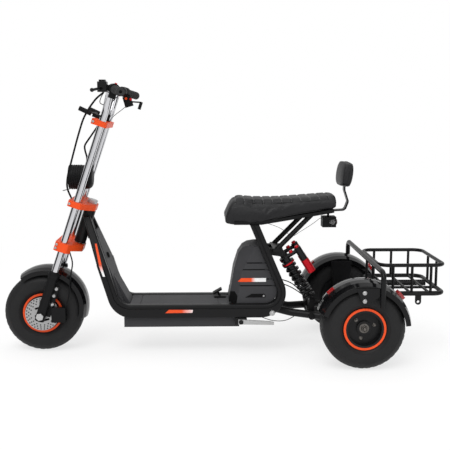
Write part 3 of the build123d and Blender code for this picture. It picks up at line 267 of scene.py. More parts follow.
def ring(profile):
    """Closed loop of (distance from the axis, distance along it) drawn in the XZ plane."""
    start()
    bpy.ops.mesh.primitive_circle_add(vertices=len(profile), fill_type="NOTHING")
    obj = bpy.context.object
    for vertex, (radius, along) in zip(obj.data.vertices, profile):
        vertex.co = (radius, 0, along)
    return obj


def lathe(profile, origin, axis, steps=40):
    """Turn a profile about an axis; where it touches the axis the solid is closed."""
    obj = ring(profile)
    edit_all(obj)
    bpy.ops.mesh.select_mode(type="VERT")
    bpy.ops.mesh.select_all(action="SELECT")
    bpy.ops.mesh.spin(steps=steps, angle=2 * pi, center=(0, 0, 0), axis=(0, 0, 1))
    bpy.ops.mesh.select_all(action="SELECT")
    bpy.ops.mesh.remove_doubles(threshold=1e-5)
    bpy.ops.mesh.dissolve_degenerate(threshold=1e-6)
    bpy.ops.mesh.select_all(action="SELECT")
    bpy.ops.mesh.normals_make_consistent(inside=False)
    close_edit()
    return place(obj, facing(origin, axis))


def slab(points, depth, bevel=0.0):
    """Plate of an outline, thickened along a vector."""
    start()
    bpy.ops.mesh.primitive_circle_add(vertices=len(points), fill_type="NGON")
    obj = bpy.context.object
    for vertex, point in zip(obj.data.vertices, points):
        vertex.co = point
    edit_all(obj)
    bpy.ops.mesh.extrude_region_move(TRANSFORM_OT_translate={"value": tuple(depth)})
    bpy.ops.mesh.select_all(action="SELECT")
    bpy.ops.mesh.normals_make_consistent(inside=False)
    close_edit()
    if bevel:
        modify(obj, "BEVEL", width=bevel, segments=2, limit_method="ANGLE", angle_limit=radians(40))
    return obj


def tube(points, diameter, sides=4, resolution=6):
    """Round bar along a smooth curve through given control points."""
    start()
    bpy.ops.curve.primitive_nurbs_path_add()
    obj = bpy.context.object
    curve = obj.data
    curve.splines.clear()
    spline = curve.splines.new("NURBS")
    spline.points.add(len(points) - 1)
    for control, point in zip(spline.points, points):
        control.co = (*point, 1)
    spline.order_u = 3
    spline.use_endpoint_u = True
    spline.resolution_u = resolution
    curve.bevel_depth = diameter / 2
    curve.bevel_resolution = sides
    curve.use_fill_caps = True
    pick(obj)
    bpy.ops.object.convert(target="MESH")
    return bpy.context.object


def hex_head():
    """Hexagon bolt head of unit width and height: a washer and a chamfered crown."""
    start()
    bpy.ops.mesh.primitive_cylinder_add(vertices=6, radius=0.5, depth=0.8)
    obj = bpy.context.object
    edit_faces(obj, lambda face: face.normal.z > 0.9)
    bpy.ops.mesh.inset(thickness=0.09, depth=0.12)
    bpy.ops.mesh.inset(thickness=0.05, depth=-0.05)
    close_edit()
    place(obj, Matrix.Translation((0, 0, 0.5)))
    washer = lathe([(0, 0), (0.68, 0), (0.68, 0.14), (0.62, 0.2), (0, 0.2)], (0, 0, 0), Z_AXIS, 24)
    return join([obj, washer])


def socket_head():
    """Round bolt head of unit width and height with a socket."""
    return lathe([(0, 0), (0.5, 0), (0.5, 0.8), (0.43, 1), (0.28, 1), (0.25, 0.45), (0, 0.45)], (0, 0, 0),
                 Z_AXIS, 20)


HEADS = {}


def bolt(kind, origin, axis, width, height):
    """Copy of a bolt head that is modelled once."""
    if kind not in HEADS:
        HEADS[kind] = hex_head() if kind == "hex" else socket_head()
    return copy_of(HEADS[kind], facing(origin, axis) @ Matrix.Diagonal((width, width, height, 1)))


# Materials

def new_material(name):
    material = bpy.data.materials.new(name)
    material.use_nodes = True
    nodes = material.node_tree.nodes
    return material, nodes, material.node_tree.links, nodes["Principled BSDF"]


def noise(nodes, links, source, scale, detail=3.0):
    node = nodes.new("ShaderNodeTexNoise")
    node.inputs["Scale"].default_value = scale
    node.inputs["Detail"].default_value = detail
    links.new(source, node.inputs["Vector"])
    return node.outputs["Fac"]


def spread(nodes, links, value, to_low, to_high, from_low=0.3, from_high=0.7):
    node = nodes.new("ShaderNodeMapRange")
    node.inputs["From Min"].default_value = from_low
    node.inputs["From Max"].default_value = from_high
    node.inputs["To Min"].default_value = to_low
    node.inputs["To Max"].default_value = to_high
    links.new(value, node.inputs["Value"])
    return node.outputs["Result"]


def blend_colours(nodes, links, factor, first, second):
    """Mix two colours; each is a colour or a socket."""
    node = nodes.new("ShaderNodeMix")
    node.data_type = "RGBA"
    links.new(factor, node.inputs["Factor"])
    for socket, value in ((node.inputs["A"], first), (node.inputs["B"], second)):
        colour_socket = [s for s in node.inputs if s.name == socket.name and s.type == "RGBA"][0]
        if isinstance(value, bpy.types.NodeSocket):
            links.new(value, colour_socket)
        else:
            colour_socket.default_value = (*value, 1)
    return [s for s in node.outputs if s.type == "RGBA"][0]


def math(nodes, links, operation, first, second=None):
    node = nodes.new("ShaderNodeMath")
    node.operation = operation
    for socket, value in zip(node.inputs, (first, second)):
        if isinstance(value, bpy.types.NodeSocket):
            links.new(value, socket)
        elif value is not None:
            socket.default_value = value
    return node.outputs["Value"]


def soft_edges(nodes, radius):
    """Normal that rounds sharp edges."""
    node = nodes.new("ShaderNodeBevel")
    node.samples = 4
    node.inputs["Radius"].default_value = radius
    return node.outputs["Normal"]


def relief(nodes, links, height, shader, strength, distance=0.001, edge=0.0):
    node = nodes.new("ShaderNodeBump")
    node.inputs["Strength"].default_value = strength
    node.inputs["Distance"].default_value = distance
    links.new(height, node.inputs["Height"])
    if edge:
        links.new(soft_edges(nodes, edge), node.inputs["Normal"])
    links.new(node.outputs["Normal"], shader.inputs["Normal"])


def shade(colour, factor):
    return tuple(min(1.0, c * factor) for c in colour)


def surface(name, colour, roughness=0.4, metallic=0.0, grain=600, depth=0.08, mottle=0.12, gloss_spread=0.06,
            edge=0.0015, specular=0.2, ior=1.35):
    """Plain finish with a fine grain, a slight mottle and softened edges."""
    material, nodes, links, shader = new_material(name)
    coords = nodes.new("ShaderNodeTexCoord").outputs["Object"]
    fine = noise(nodes, links, coords, grain)
    broad = noise(nodes, links, coords, 9.0, 5.0)
    tone = blend_colours(nodes, links, broad, shade(colour, 1 - mottle), shade(colour, 1 + mottle))
    links.new(tone, shader.inputs["Base Color"])
    links.new(spread(nodes, links, fine, roughness - gloss_spread, roughness + gloss_spread),
              shader.inputs["Roughness"])
    shader.inputs["Metallic"].default_value = metallic
    shader.inputs["Specular IOR Level"].default_value = specular
    shader.inputs["IOR"].default_value = ior
    relief(nodes, links, fine, shader, depth, edge=edge)
    return material


def rim_finish(name, centre, inner, faces, dark, bright):
    """Satin black wheel whose edge is a bright ring on the named faces, each 1 for left or -1 for right."""
    material, nodes, links, shader = new_material(name)
    coords = nodes.new("ShaderNodeTexCoord").outputs["Object"]
    shift = nodes.new("ShaderNodeMapping")
    shift.inputs["Location"].default_value = -centre
    links.new(coords, shift.inputs["Vector"])
    parts = nodes.new("ShaderNodeSeparateXYZ")
    links.new(shift.outputs["Vector"], parts.inputs["Vector"])
    square_x = math(nodes, links, "MULTIPLY", parts.outputs["X"], parts.outputs["X"])
    square_z = math(nodes, links, "MULTIPLY", parts.outputs["Z"], parts.outputs["Z"])
    radius = math(nodes, links, "SQRT", math(nodes, links, "ADD", square_x, square_z))
    edge = spread(nodes, links, radius, 0.0, 1.0, inner - 0.0004, inner + 0.0004)
    shown = [spread(nodes, links, parts.outputs["Y"], 0.0, 1.0, face * 0.029, face * 0.031) for face in faces]
    side = math(nodes, links, "MAXIMUM", shown[0], shown[-1])
    mask = math(nodes, links, "MULTIPLY", edge, side)
    fine = noise(nodes, links, coords, 500)
    broad = noise(nodes, links, coords, 12.0, 4.0)
    black = blend_colours(nodes, links, broad, shade(dark, 0.85), shade(dark, 1.2))
    colour = blend_colours(nodes, links, broad, shade(bright, 0.92), shade(bright, 1.06))
    links.new(blend_colours(nodes, links, mask, black, colour), shader.inputs["Base Color"])
    links.new(spread(nodes, links, fine, 0.3, 0.42), shader.inputs["Roughness"])
    shader.inputs["Specular IOR Level"].default_value = 0.2
    relief(nodes, links, fine, shader, 0.06, edge=0.001)
    return material


def leather(name, colour):
    """Grained vinyl with a soft sheen."""
    material, nodes, links, shader = new_material(name)
    coords = nodes.new("ShaderNodeTexCoord").outputs["Object"]
    cells = nodes.new("ShaderNodeTexVoronoi")
    cells.feature = "DISTANCE_TO_EDGE"
    cells.inputs["Scale"].default_value = 420
    links.new(coords, cells.inputs["Vector"])
    grain = spread(nodes, links, cells.outputs["Distance"], 0.0, 1.0, 0.0, 0.12)
    broad = noise(nodes, links, coords, 14.0, 5.0)
    links.new(blend_colours(nodes, links, broad, shade(colour, 0.8), shade(colour, 1.3)),
              shader.inputs["Base Color"])
    links.new(spread(nodes, links, broad, 0.4, 0.52), shader.inputs["Roughness"])
    shader.inputs["Specular IOR Level"].default_value = 0.26
    relief(nodes, links, grain, shader, 0.15, 0.0006)
    return material


def lens_finish(name, colour, transmission=0.35, cells=160.0):
    """Coloured lens with a prism pattern under a clear surface."""
    material, nodes, links, shader = new_material(name)
    coords = nodes.new("ShaderNodeTexCoord").outputs["Object"]
    prism = nodes.new("ShaderNodeTexVoronoi")
    prism.feature = "F1"
    prism.distance = "CHEBYCHEV"
    prism.inputs["Scale"].default_value = cells
    prism.inputs["Randomness"].default_value = 0.0
    links.new(coords, prism.inputs["Vector"])
    broad = noise(nodes, links, coords, 30.0)
    links.new(blend_colours(nodes, links, broad, shade(colour, 0.85), shade(colour, 1.15)),
              shader.inputs["Base Color"])
    links.new(spread(nodes, links, broad, 0.08, 0.16), shader.inputs["Roughness"])
    shader.inputs["Transmission Weight"].default_value = transmission
    shader.inputs["Coat Weight"].default_value = 0.6
    relief(nodes, links, prism.outputs["Distance"], shader, 0.35)
    return material


def stripe_finish(name, first, second, direction, begin, end):
    """Stripe that fades from one colour to another between two places along X or Z."""
    material, nodes, links, shader = new_material(name)
    coords = nodes.new("ShaderNodeTexCoord").outputs["Object"]
    parts = nodes.new("ShaderNodeSeparateXYZ")
    links.new(coords, parts.inputs["Vector"])
    fade = spread(nodes, links, parts.outputs[direction], 0.0, 1.0, begin, end)
    fine = noise(nodes, links, coords, 500)
    links.new(blend_colours(nodes, links, fade, first, second), shader.inputs["Base Color"])
    links.new(spread(nodes, links, fine, 0.3, 0.4), shader.inputs["Roughness"])
    shader.inputs["Specular IOR Level"].default_value = 0.2
    relief(nodes, links, fine, shader, 0.05)
    return material


MATERIALS = {}


def make_materials():
    """Every finish of the scooter, by a plain name."""
    c = colours()
    black, steel, iron, orange = tuple(c.black), tuple(c.steel), tuple(c.iron), tuple(c.orange)
    MATERIALS.update({
        "rubber": surface("tyre_rubber", tuple(c.rubber), 0.55, grain=700, depth=0.2, mottle=0.25, edge=0.0,
                          specular=0.3),
        "frame": surface("frame_satin", black, 0.36, grain=900, depth=0.08, edge=0.003, specular=0.3),
        "tube_black": surface("tube_satin", black, 0.32, grain=900, depth=0.08, edge=0.002, specular=0.3),
        "slider": surface("slider_satin", black, 0.38, grain=900, depth=0.1),
        "chrome": surface("fork_chrome", tuple(c.chrome), 0.1, 1.0, grain=300, depth=0.02, mottle=0.05,
                          gloss_spread=0.03, edge=0.0),
        "zinc": surface("zinc_plate", steel, 0.3, 1.0, grain=500, depth=0.08, mottle=0.15),
        "iron": surface("dark_steel", iron, 0.4, 0.9, grain=500, depth=0.12, mottle=0.25),
        "disc": surface("disc_steel", shade(steel, 0.8), 0.32, 1.0, grain=350, depth=0.12, mottle=0.1,
                        edge=0.0005),
        "orange": surface("clamp_orange", orange, 0.4, grain=800, depth=0.06, mottle=0.06, edge=0.003,
                          specular=0.25),
        "charcoal": surface("shield_plastic", tuple(c.charcoal), 0.5, grain=1100, depth=0.2, mottle=0.1,
                            edge=0.004),
        "grey": surface("box_plastic", tuple(c.grey), 0.5, grain=1100, depth=0.2, mottle=0.1, edge=0.004),
        "trim": surface("trim_plastic", black, 0.5, grain=1000, depth=0.2, edge=0.003),
        "gloss": surface("fender_gloss", tuple(c.gloss), 0.12, grain=200, depth=0.015, mottle=0.08,
                         gloss_spread=0.03, edge=0.002, specular=0.5, ior=1.3),
        "mat": surface("deck_rubber", tuple(c.mat), 0.7, grain=900, depth=0.3, mottle=0.15, edge=0.001),
        "grip": surface("grip_rubber", tuple(c.grip), 0.66, grain=900, depth=0.3, edge=0.001),
        "vinyl": leather("seat_vinyl", tuple(c.vinyl)),
        "thread": surface("seat_thread", tuple(c.thread), 0.8, grain=2000, depth=0.3, edge=0.0),
        "spring": surface("spring_black", black, 0.28, grain=600, depth=0.05, edge=0.0, specular=0.35),
        "red": surface("red_anodised", tuple(c.red), 0.28, 0.5, grain=700, depth=0.05, mottle=0.1,
                       edge=0.001),
        "lens_red": lens_finish("lens_red", tuple(c.lens_red)),
        "lens_amber": lens_finish("lens_amber", tuple(c.amber)),
        "lens_clear": lens_finish("lens_clear", (0.9, 0.9, 0.92), 0.95, 70.0),
        "cable": surface("cable_rubber", black, 0.6, grain=1200, depth=0.2, edge=0.0),
        "stand": surface("stand_metal", shade(steel, 0.9), 0.42, 0.8, grain=500, depth=0.15, mottle=0.15,
                         edge=0.001),
        # Near-black finish: the lock, the grips' end plugs and the box's feet in dark plastic, and painted shade
        # in the disc's holes and the box's grooves and slot.
        "dark": surface("dark_plastic_and_painted_hole_shade", shade(black, 0.5), 0.7, grain=900, depth=0.2, edge=0.0),
        "button": surface("orange_button", orange, 0.4, grain=900, depth=0.05),
    })


NODE_FINISH = {
    "frame": ["frame_rails", "head_tube", "cross_members", "swing_arm", "drive_axle", "fender_stays",
              "stand_bracket"],
    "tube_black": ["seat_struts", "backrest_bar", "guard_bar", "basket", "carrier_bars", "brake_levers"],
    "slider": ["fork_sliders", "front_brake_caliper"],
    "chrome": ["fork_tubes"],
    "zinc": ["front_axle", "steering_stem"],
    "disc": ["front_brake_disc"],
    "orange": ["lower_clamp", "middle_clamp", "upper_clamp"],
    "charcoal": ["leg_shield", "belly_case"],
    "grey": ["battery_box"],
    "trim": ["seat_pan", "bar_controls", "headlamp_shell", "turn_signals", "seat_rear_lamp",
             "foot_brake_pedal"],
    "gloss": ["front_fender", "rear_fenders"],
    "mat": ["deck_floor"],
    "spring": ["shock_springs", "shock_dampers"],
    "red": ["shock_reservoirs"],
    "lens_red": ["fender_lamps"],
    "cable": ["control_cables"],
    "stand": ["side_stand"],
}
RING_FACES = {"front": (1, -1), "rear_left": (1,), "rear_right": (-1,)}


class SCOOTER_OT_finishes(bpy.types.Operator):
    """Make the materials and paint the CAD nodes"""
    bl_idname = "scooter.finishes"
    bl_label = "Finishes"

    def execute(self, context):
        make_materials()
        for finish_name, nodes in NODE_FINISH.items():
            for node in nodes:
                paint_node(node, MATERIALS[finish_name])
        rim_edge = (high("front_rim").z - low("front_rim").z) / 2 - 0.0095
        for wheel, centre in WHEELS.items():
            finish_material = rim_finish(f"rim_paint_{wheel}", centre, rim_edge, RING_FACES[wheel],
                                         tuple(colours().black), tuple(colours().orange))
            paint_node(f"{wheel}_rim", finish_material)
        return {"FINISHED"}


def paint_node(node, material):
    obj = frame["nodes"][node]
    obj.data.materials.clear()
    obj.data.materials.append(material)


# Wheels

def tyre_profile(radius, half, rim, tread):
    """Half outline of a tyre as (distance from the axle, distance from the middle plane), bead to crown."""
    wall = radius - rim
    crown = radius - tread
    return [
        (rim - 0.012, half * 0.745), (rim + 0.0005, half * 0.75), (rim + wall * 0.07, half * 0.82),
        (rim + wall * 0.15, half * 0.9), (rim + wall * 0.17, half * 0.905), (rim + wall * 0.19, half * 0.94),
        (rim + wall * 0.32, half * 0.985), (rim + wall * 0.45, half), (rim + wall * 0.6, half * 0.985),
        (rim + wall * 0.64, half * 0.97), (rim + wall * 0.66, half * 0.978), (rim + wall * 0.76, half * 0.91),
        (rim + wall * 0.86, half * 0.8), (rim + wall * 0.93, half * 0.68), (crown - 0.0012, half * 0.5),
        (crown - 0.0004, half * 0.27), (crown, half * 0.08),
    ]


class SCOOTER_OT_tyres(bpy.types.Operator):
    """Treaded tyres over the CAD tyres"""
    bl_idname = "scooter.tyres"
    bl_label = "Tyres"

    def execute(self, context):
        s = sizes()
        size = high("front_tyre") - low("front_tyre")
        rim = (high("front_rim").z - low("front_rim").z) / 2
        half = tyre_profile(size.z / 2, size.y / 2, rim, s.tread_height)
        profile = half + [(radius, -along) for radius, along in reversed(half)]
        master = lathe(profile, (0, 0, 0), Y_AXIS, s.tread_steps)
        crown = size.z / 2 - s.tread_height - 0.0035
        step = 2 * pi / s.tread_steps

        def block(face):
            centre = face.center
            if sqrt(centre.x ** 2 + centre.z ** 2) < crown:
                return False
            column = round(abs(centre.y) / (size.y / 2) * 5.2)
            turn = int((Vector((centre.x, centre.z)).angle_signed(Vector((1, 0))) + pi) / step)
            return (turn + column + (centre.y > 0)) % 3 != 0

        edit_faces(master, block)
        bpy.ops.mesh.inset(thickness=0.0009, depth=s.tread_height - 0.0004, use_individual=True)
        close_edit()
        for wheel, centre in WHEELS.items():
            tyre = copy_of(master, Matrix.Translation(centre))
            finish(tyre, f"{wheel}_tyre_tread", f"{wheel}_wheel", MATERIALS["rubber"],
                   [f"{wheel}_tyre"], 28)
        bpy.data.objects.remove(master)
        return {"FINISHED"}


# Profile of the rear axles' nut ends: distance from the axis and along it.
AXLE_NUT = [(0, 0.008), (0.0125, 0.008), (0.0125, 0.013), (0.0115, 0.014), (0.0085, 0.014), (0.008, 0.012),
            (0.0065, 0.012), (0.0065, 0.018), (0.0055, 0.019), (0, 0.019)]
# Rings of holes in the brake disc, where a dark plug paints the shade inside each: radius, count and angle of the
# first one.
DISC_HOLES = ((0.069, 30, 0.0), (0.060, 24, radians(7.5)), (0.051, 18, 0.0))


class SCOOTER_OT_hubs(bpy.types.Operator):
    """Nuts and bolts on the wheels, and painted shade in the brake disc's holes"""
    bl_idname = "scooter.hubs"
    bl_label = "Hub nuts and bolts"

    def execute(self, context):
        for wheel, side in (("rear_left", 1), ("rear_right", -1)):
            centre = WHEELS[wheel]
            outward = Y_AXIS * side
            face = high(f"{wheel}_rim").y if side > 0 else low(f"{wheel}_rim").y
            cap = Vector((centre.x, face - side * 0.019, centre.z))
            disc = face - side * 0.029
            pieces = [bolt("hex", cap, outward, 0.03, 0.01)]
            pieces.append(lathe(AXLE_NUT, cap, outward, 24))
            for i in range(8):
                turn = pi / 4 * i
                spot = cap + outward * 0.0135 + Vector((cos(turn), 0, sin(turn))) * 0.0105
                pieces.append(bolt("socket", spot, outward, 0.005, 0.003))
            for i in range(3):
                turn = radians(45 + 120 * i)
                spot = Vector((centre.x + 0.046 * cos(turn), disc, centre.z + 0.046 * sin(turn)))
                pieces.append(bolt("hex", spot, outward, 0.012, 0.008))
            finish(join(pieces), f"{wheel}_hub_bolts", f"{wheel}_wheel", MATERIALS["iron"])
        disc_y = high("front_brake_disc").y
        pieces = []
        for i in range(5):
            turn = 2 * pi / 5 * i
            spot = Vector((FRONT_AXLE.x + 0.024 * cos(turn), disc_y, FRONT_AXLE.z + 0.024 * sin(turn)))
            pieces.append(bolt("socket", spot, Y_AXIS, 0.008, 0.003))
        finish(join(pieces), "front_disc_bolts", "front_wheel", MATERIALS["zinc"])
        self.paint_disc_hole_shade(disc_y)
        return {"FINISHED"}

    def paint_disc_hole_shade(self, disc_y):
        """Dark plugs in the brake disc's holes: painted shade inside them."""
        # Thin dark plug a little wider than a hole, standing for the shade inside it.
        hole_shade_plug = lathe([(0, -0.0004), (0.0031, -0.0004), (0.0031, 0.0002), (0.0025, 0.0003), (0.0021, 0.0),
                      (0, 0.0)],
                     (0, 0, 0), Z_AXIS, 10)
        pieces = []
        for radius, count, first in DISC_HOLES:
            for i in range(count):
                turn = first + 2 * pi * i / count
                spot = Vector((FRONT_AXLE.x + radius * cos(turn), disc_y, FRONT_AXLE.z + radius * sin(turn)))
                pieces.append(copy_of(hole_shade_plug, facing(spot, Y_AXIS)))
        bpy.data.objects.remove(hole_shade_plug)
        finish(join(pieces), "front_disc_hole_shade", "front_wheel", MATERIALS["dark"])


# Handlebar and fork

# Handlebar in the fork's own frame: height, place where its sweep begins, sweep and the grips' ends.
BAR_UP = 1.040
BAR_KNEE = (0.006, 0.132)
BAR_SWEEP = 0.33
GRIP_ENDS = (0.225, 0.340)
POD_ACROSS = 0.211


def on_bar(side, across):
    """Point of the handlebar's axis at a distance from the middle."""
    return on_fork(BAR_KNEE[0] - (across - BAR_KNEE[1]) * BAR_SWEEP, side * across, BAR_UP)


class SCOOTER_OT_grips(bpy.types.Operator):
    """Ribbed grips over the CAD grips"""
    bl_idname = "scooter.grips"
    bl_label = "Grips"

    def execute(self, context):
        rib = sizes().grip_rib
        radius = 0.018
        long = (on_bar(1, GRIP_ENDS[1]) - on_bar(1, GRIP_ENDS[0])).length
        profile = [(0.0155, 0), (radius, 0), (radius, 0.006)]
        for i in range(16):
            begin = 0.008 + i * 0.0064
            profile += [(radius - rib, begin), (radius - rib, begin + 0.0022), (radius, begin + 0.003),
                        (radius, begin + 0.0054)]
        profile += [(radius, long - 0.002), (radius - 0.002, long), (0.0065, long), (0.006, long - 0.005),
                    (0, long - 0.005), (0, long - 0.007), (0.0155, long - 0.007)]
        master = lathe(profile, (0, 0, 0), Z_AXIS, 40)
        plug = lathe([(0, -0.0052), (0.0059, -0.0052), (0.0059, -0.0035), (0, -0.0035)], (0, 0, 0), Z_AXIS,
                     24)
        grips, plugs = [], []
        for side in SIDES:
            begin, end = on_bar(side, GRIP_ENDS[0]), on_bar(side, GRIP_ENDS[1])
            grips.append(copy_of(master, facing(begin, end - begin)))
            plugs.append(copy_of(plug, facing(end, end - begin)))
        bpy.data.objects.remove(master)
        bpy.data.objects.remove(plug)
        finish(join(grips), "ribbed_grips", "fork", MATERIALS["grip"], ["grips"])
        finish(join(plugs), "grip_plugs", "fork", MATERIALS["dark"])
        return {"FINISHED"}


class SCOOTER_OT_controls(bpy.types.Operator):
    """Buttons on the switch and throttle housings"""
    bl_idname = "scooter.controls"
    bl_label = "Bar buttons"

    def execute(self, context):
        master = lathe([(0, -0.002), (0.006, -0.002), (0.006, 0.003), (0.005, 0.0042), (0, 0.0046)],
                       (0, 0, 0), Z_AXIS, 24)
        key_face = -POD_ACROSS + 0.008
        # Buttons: place in the fork's own frame and the way they face.
        orange = [(on_fork(-0.034, key_face, 1.014), Y_AXIS),
                  (on_bar(1, POD_ACROSS) - AHEAD * 0.0225, -AHEAD)]
        red = [(on_fork(-0.056, key_face, 1.018), Y_AXIS),
               (on_bar(1, POD_ACROSS) + STEER_AXIS * 0.0225, STEER_AXIS)]
        for name, rows, material in (("switch_buttons", orange, "button"), ("stop_buttons", red, "red")):
            pieces = [copy_of(master, facing(spot, axis)) for spot, axis in rows]
            finish(join(pieces), name, "fork", MATERIALS[material])
        bpy.data.objects.remove(master)
        return {"FINISHED"}


class SCOOTER_OT_fork_bolts(bpy.types.Operator):
    """Pinch bolts on the clamps and the caliper, wipers over the sliders and a cap on the upper clamp"""
    bl_idname = "scooter.fork_bolts"
    bl_label = "Fork bolts"

    def execute(self, context):
        bolts = []
        for node in ("lower_clamp", "middle_clamp", "upper_clamp"):
            ahead = reach(node, AHEAD)[1] - 0.009
            bottom, top = reach(node, STEER_AXIS)
            side_y = high(node).y
            spans = (0.3, 0.72) if top - bottom > 0.03 else (0.5,)
            for side in SIDES:
                for span in spans:
                    spot = on_fork(ahead, side * (side_y - 0.0005), bottom + (top - bottom) * span)
                    bolts.append(bolt("socket", spot, Y_AXIS * side, 0.011, 0.005))
        for ahead, up in ((-0.027, 0.132), (-0.025, 0.099), (-0.031, 0.059)):
            bolts.append(bolt("hex", on_fork(ahead, 0.0938, up), Y_AXIS, 0.012, 0.006))
        finish(join(bolts), "clamp_bolts", "fork", MATERIALS["zinc"])
        top = reach("fork_sliders", STEER_AXIS)[1]
        master = lathe([(0.0154, 0), (0.0225, 0), (0.0225, 0.004), (0.019, 0.009), (0.0154, 0.009)],
                       (0, 0, 0), Z_AXIS, 32)
        wipers = [copy_of(master, facing(on_fork(0, side * 0.105, top), STEER_AXIS)) for side in SIDES]
        bpy.data.objects.remove(master)
        clamp_top = reach("upper_clamp", STEER_AXIS)[1]
        cap = [(0, 0), (0.0125, 0), (0.0125, 0.006), (0.0105, 0.008), (0.0105, 0.029), (0.008, 0.032),
               (0, 0.032)]
        wipers.append(lathe(cap, on_fork(-0.004, 0, clamp_top), STEER_AXIS, 32))
        finish(join(wipers), "fork_caps", "fork", MATERIALS["cable"])
        return {"FINISHED"}


class SCOOTER_OT_headlamp(bpy.types.Operator):
    """Bezel, fins, reflector and domed glass of the headlamp, and the signals' lenses"""
    bl_idname = "scooter.headlamp"
    bl_label = "Headlamp"

    def execute(self, context):
        centre = middle("headlamp_lens")
        radius = (high("headlamp_lens").z - low("headlamp_lens").z) / 2
        front = high("headlamp_lens").x
        back = low("headlamp_lens").x
        axis_point = Vector((back, centre.y, centre.z))
        depth = front - back
        bezel = [(radius - 0.002, depth - 0.004), (radius + 0.0055, depth - 0.004),
                 (radius + 0.0075, depth - 0.002), (radius + 0.0065, depth), (radius - 0.002, depth - 0.001)]
        shell = [lathe(bezel, axis_point, X_AXIS, 56)]
        fin = lathe([(radius + 0.004, -0.002), (radius + 0.008, -0.002), (radius + 0.008, 0.002),
                     (radius + 0.004, 0.002)],
                    axis_point, X_AXIS, 56)
        shell += [copy_of(fin, Matrix.Translation((-0.01 * i, 0, 0))) for i in range(1, 5)]
        shell.append(fin)
        finish(join(shell), "headlamp_fins", "fork", MATERIALS["trim"])
        mirror = [(0, 0.0006), (radius * 0.3, 0.0008), (radius * 0.7, 0.003), (radius - 0.003, 0.007),
                  (radius - 0.0005, 0.007), (radius - 0.0005, 0.0003), (0, 0.0003)]
        bowl = lathe(mirror, axis_point, X_AXIS, 56)
        finish(bowl, "headlamp_reflector", "fork", MATERIALS["chrome"])
        dome = [(0, 0.0095), (radius - 0.003, 0.0078), (radius - 0.001, 0.0078), (radius - 0.001, 0.0092),
                (radius * 0.7, depth - 0.0012), (0, depth - 0.0004)]
        glass = lathe(dome, axis_point, X_AXIS, 56)
        finish(glass, "headlamp_glass", "fork", MATERIALS["lens_clear"], ["headlamp_lens"])
        signal_front = reach("turn_signals", AHEAD)[1]
        top = reach("turn_signals", STEER_AXIS)[1]
        lens = lathe([(0, 0), (0.0092, 0), (0.0086, 0.002), (0, 0.003)], (0, 0, 0), Z_AXIS, 28)
        ends = []
        for side in SIDES:
            spot = on_fork(signal_front - 0.0035, side * 0.128, top - 0.0095)
            ends.append(copy_of(lens, facing(spot, AHEAD)))
        bpy.data.objects.remove(lens)
        finish(join(ends), "signal_lenses", "fork", MATERIALS["lens_amber"])
        return {"FINISHED"}


# Seat

# Saddle in the side view, in metres ahead of the rear axle: its top and base (place, height), its front end
# (share of the height, place), its rear end, and the lines of its welt and hem (place, height).
SEAT_TOP = [(0.540, 0.687), (0.510, 0.690), (0.440, 0.682), (0.330, 0.683), (0.200, 0.692), (0.098, 0.700),
            (0.076, 0.697)]
SEAT_BASE = [(0.577, 0.576), (0.416, 0.576), (0.316, 0.6075), (0.076, 0.6465)]
SEAT_FRONT = [(1.0, 0.527), (0.85, 0.549), (0.6, 0.560), (0.15, 0.577), (0.06, 0.576), (0.0, 0.570)]
SEAT_REAR = 0.077
SEAT_WELT = [(0.566, 0.587), (0.566, 0.602), (0.554, 0.640), (0.541, 0.664), (0.515, 0.677), (0.440, 0.668),
             (0.330, 0.669), (0.200, 0.678), (0.105, 0.685), (0.086, 0.672), (0.085, 0.656)]
SEAT_HEM = [(0.566, 0.582), (0.480, 0.580), (0.418, 0.581), (0.370, 0.595), (0.316, 0.612), (0.211, 0.629),
            (0.150, 0.639), (0.086, 0.650)]
BACKREST_HALF = (0.031, 0.100, 0.057)
BACKREST_TILT = radians(8)


def along_table(table, x):
    """Value at a place, by straight lines between the rows of a table with falling places."""
    if x >= table[0][0]:
        return table[0][1]
    for (x1, z1), (x0, z0) in zip(table, table[1:]):
        if x >= x0:
            return z0 + (z1 - z0) * (x - x0) / (x1 - x0)
    return table[-1][1]


def pillow(cuts):
    """Cube divided finely, and most finely near its edges; its vertices run from -1 to 1."""
    start()
    bpy.ops.mesh.primitive_cube_add(size=2)
    obj = bpy.context.object
    edit_all(obj)
    bpy.ops.mesh.subdivide(number_cuts=cuts)
    close_edit()
    for vertex in obj.data.vertices:
        vertex.co = [sin(pi / 2 * value) for value in vertex.co]
    return obj


def swell(obj, limit, voxel):
    """Fill a closed form like padding, with the furthest swell capped."""
    modify(obj, "REMESH", mode="VOXEL", voxel_size=voxel)
    before = [vertex.co.copy() for vertex in obj.data.vertices]
    pick(obj)
    cloth = obj.modifiers.new("padding", "CLOTH")
    cloth.settings.use_pressure = True
    cloth.settings.uniform_pressure_force = 4
    cloth.settings.effector_weights.gravity = 0
    cloth.settings.tension_stiffness = 40
    cloth.settings.compression_stiffness = 40
    cloth.settings.shear_stiffness = 20
    cloth.settings.bending_stiffness = 4
    scene = bpy.context.scene
    for number in range(1, 21):
        scene.frame_set(number)
    pick(obj)
    bpy.ops.object.modifier_apply(modifier=cloth.name)
    scene.frame_set(1)
    for vertex, place_before in zip(obj.data.vertices, before):
        move = vertex.co - place_before
        if move.length > limit:
            vertex.co = place_before + move * (limit / move.length)
    return modify(obj, "SUBSURF", levels=1, render_levels=1)


def drop(obj, origin, direction):
    """Point where a line from outside meets a piece."""
    hit, spot, _, _ = obj.ray_cast(origin, direction)
    return spot if hit else None


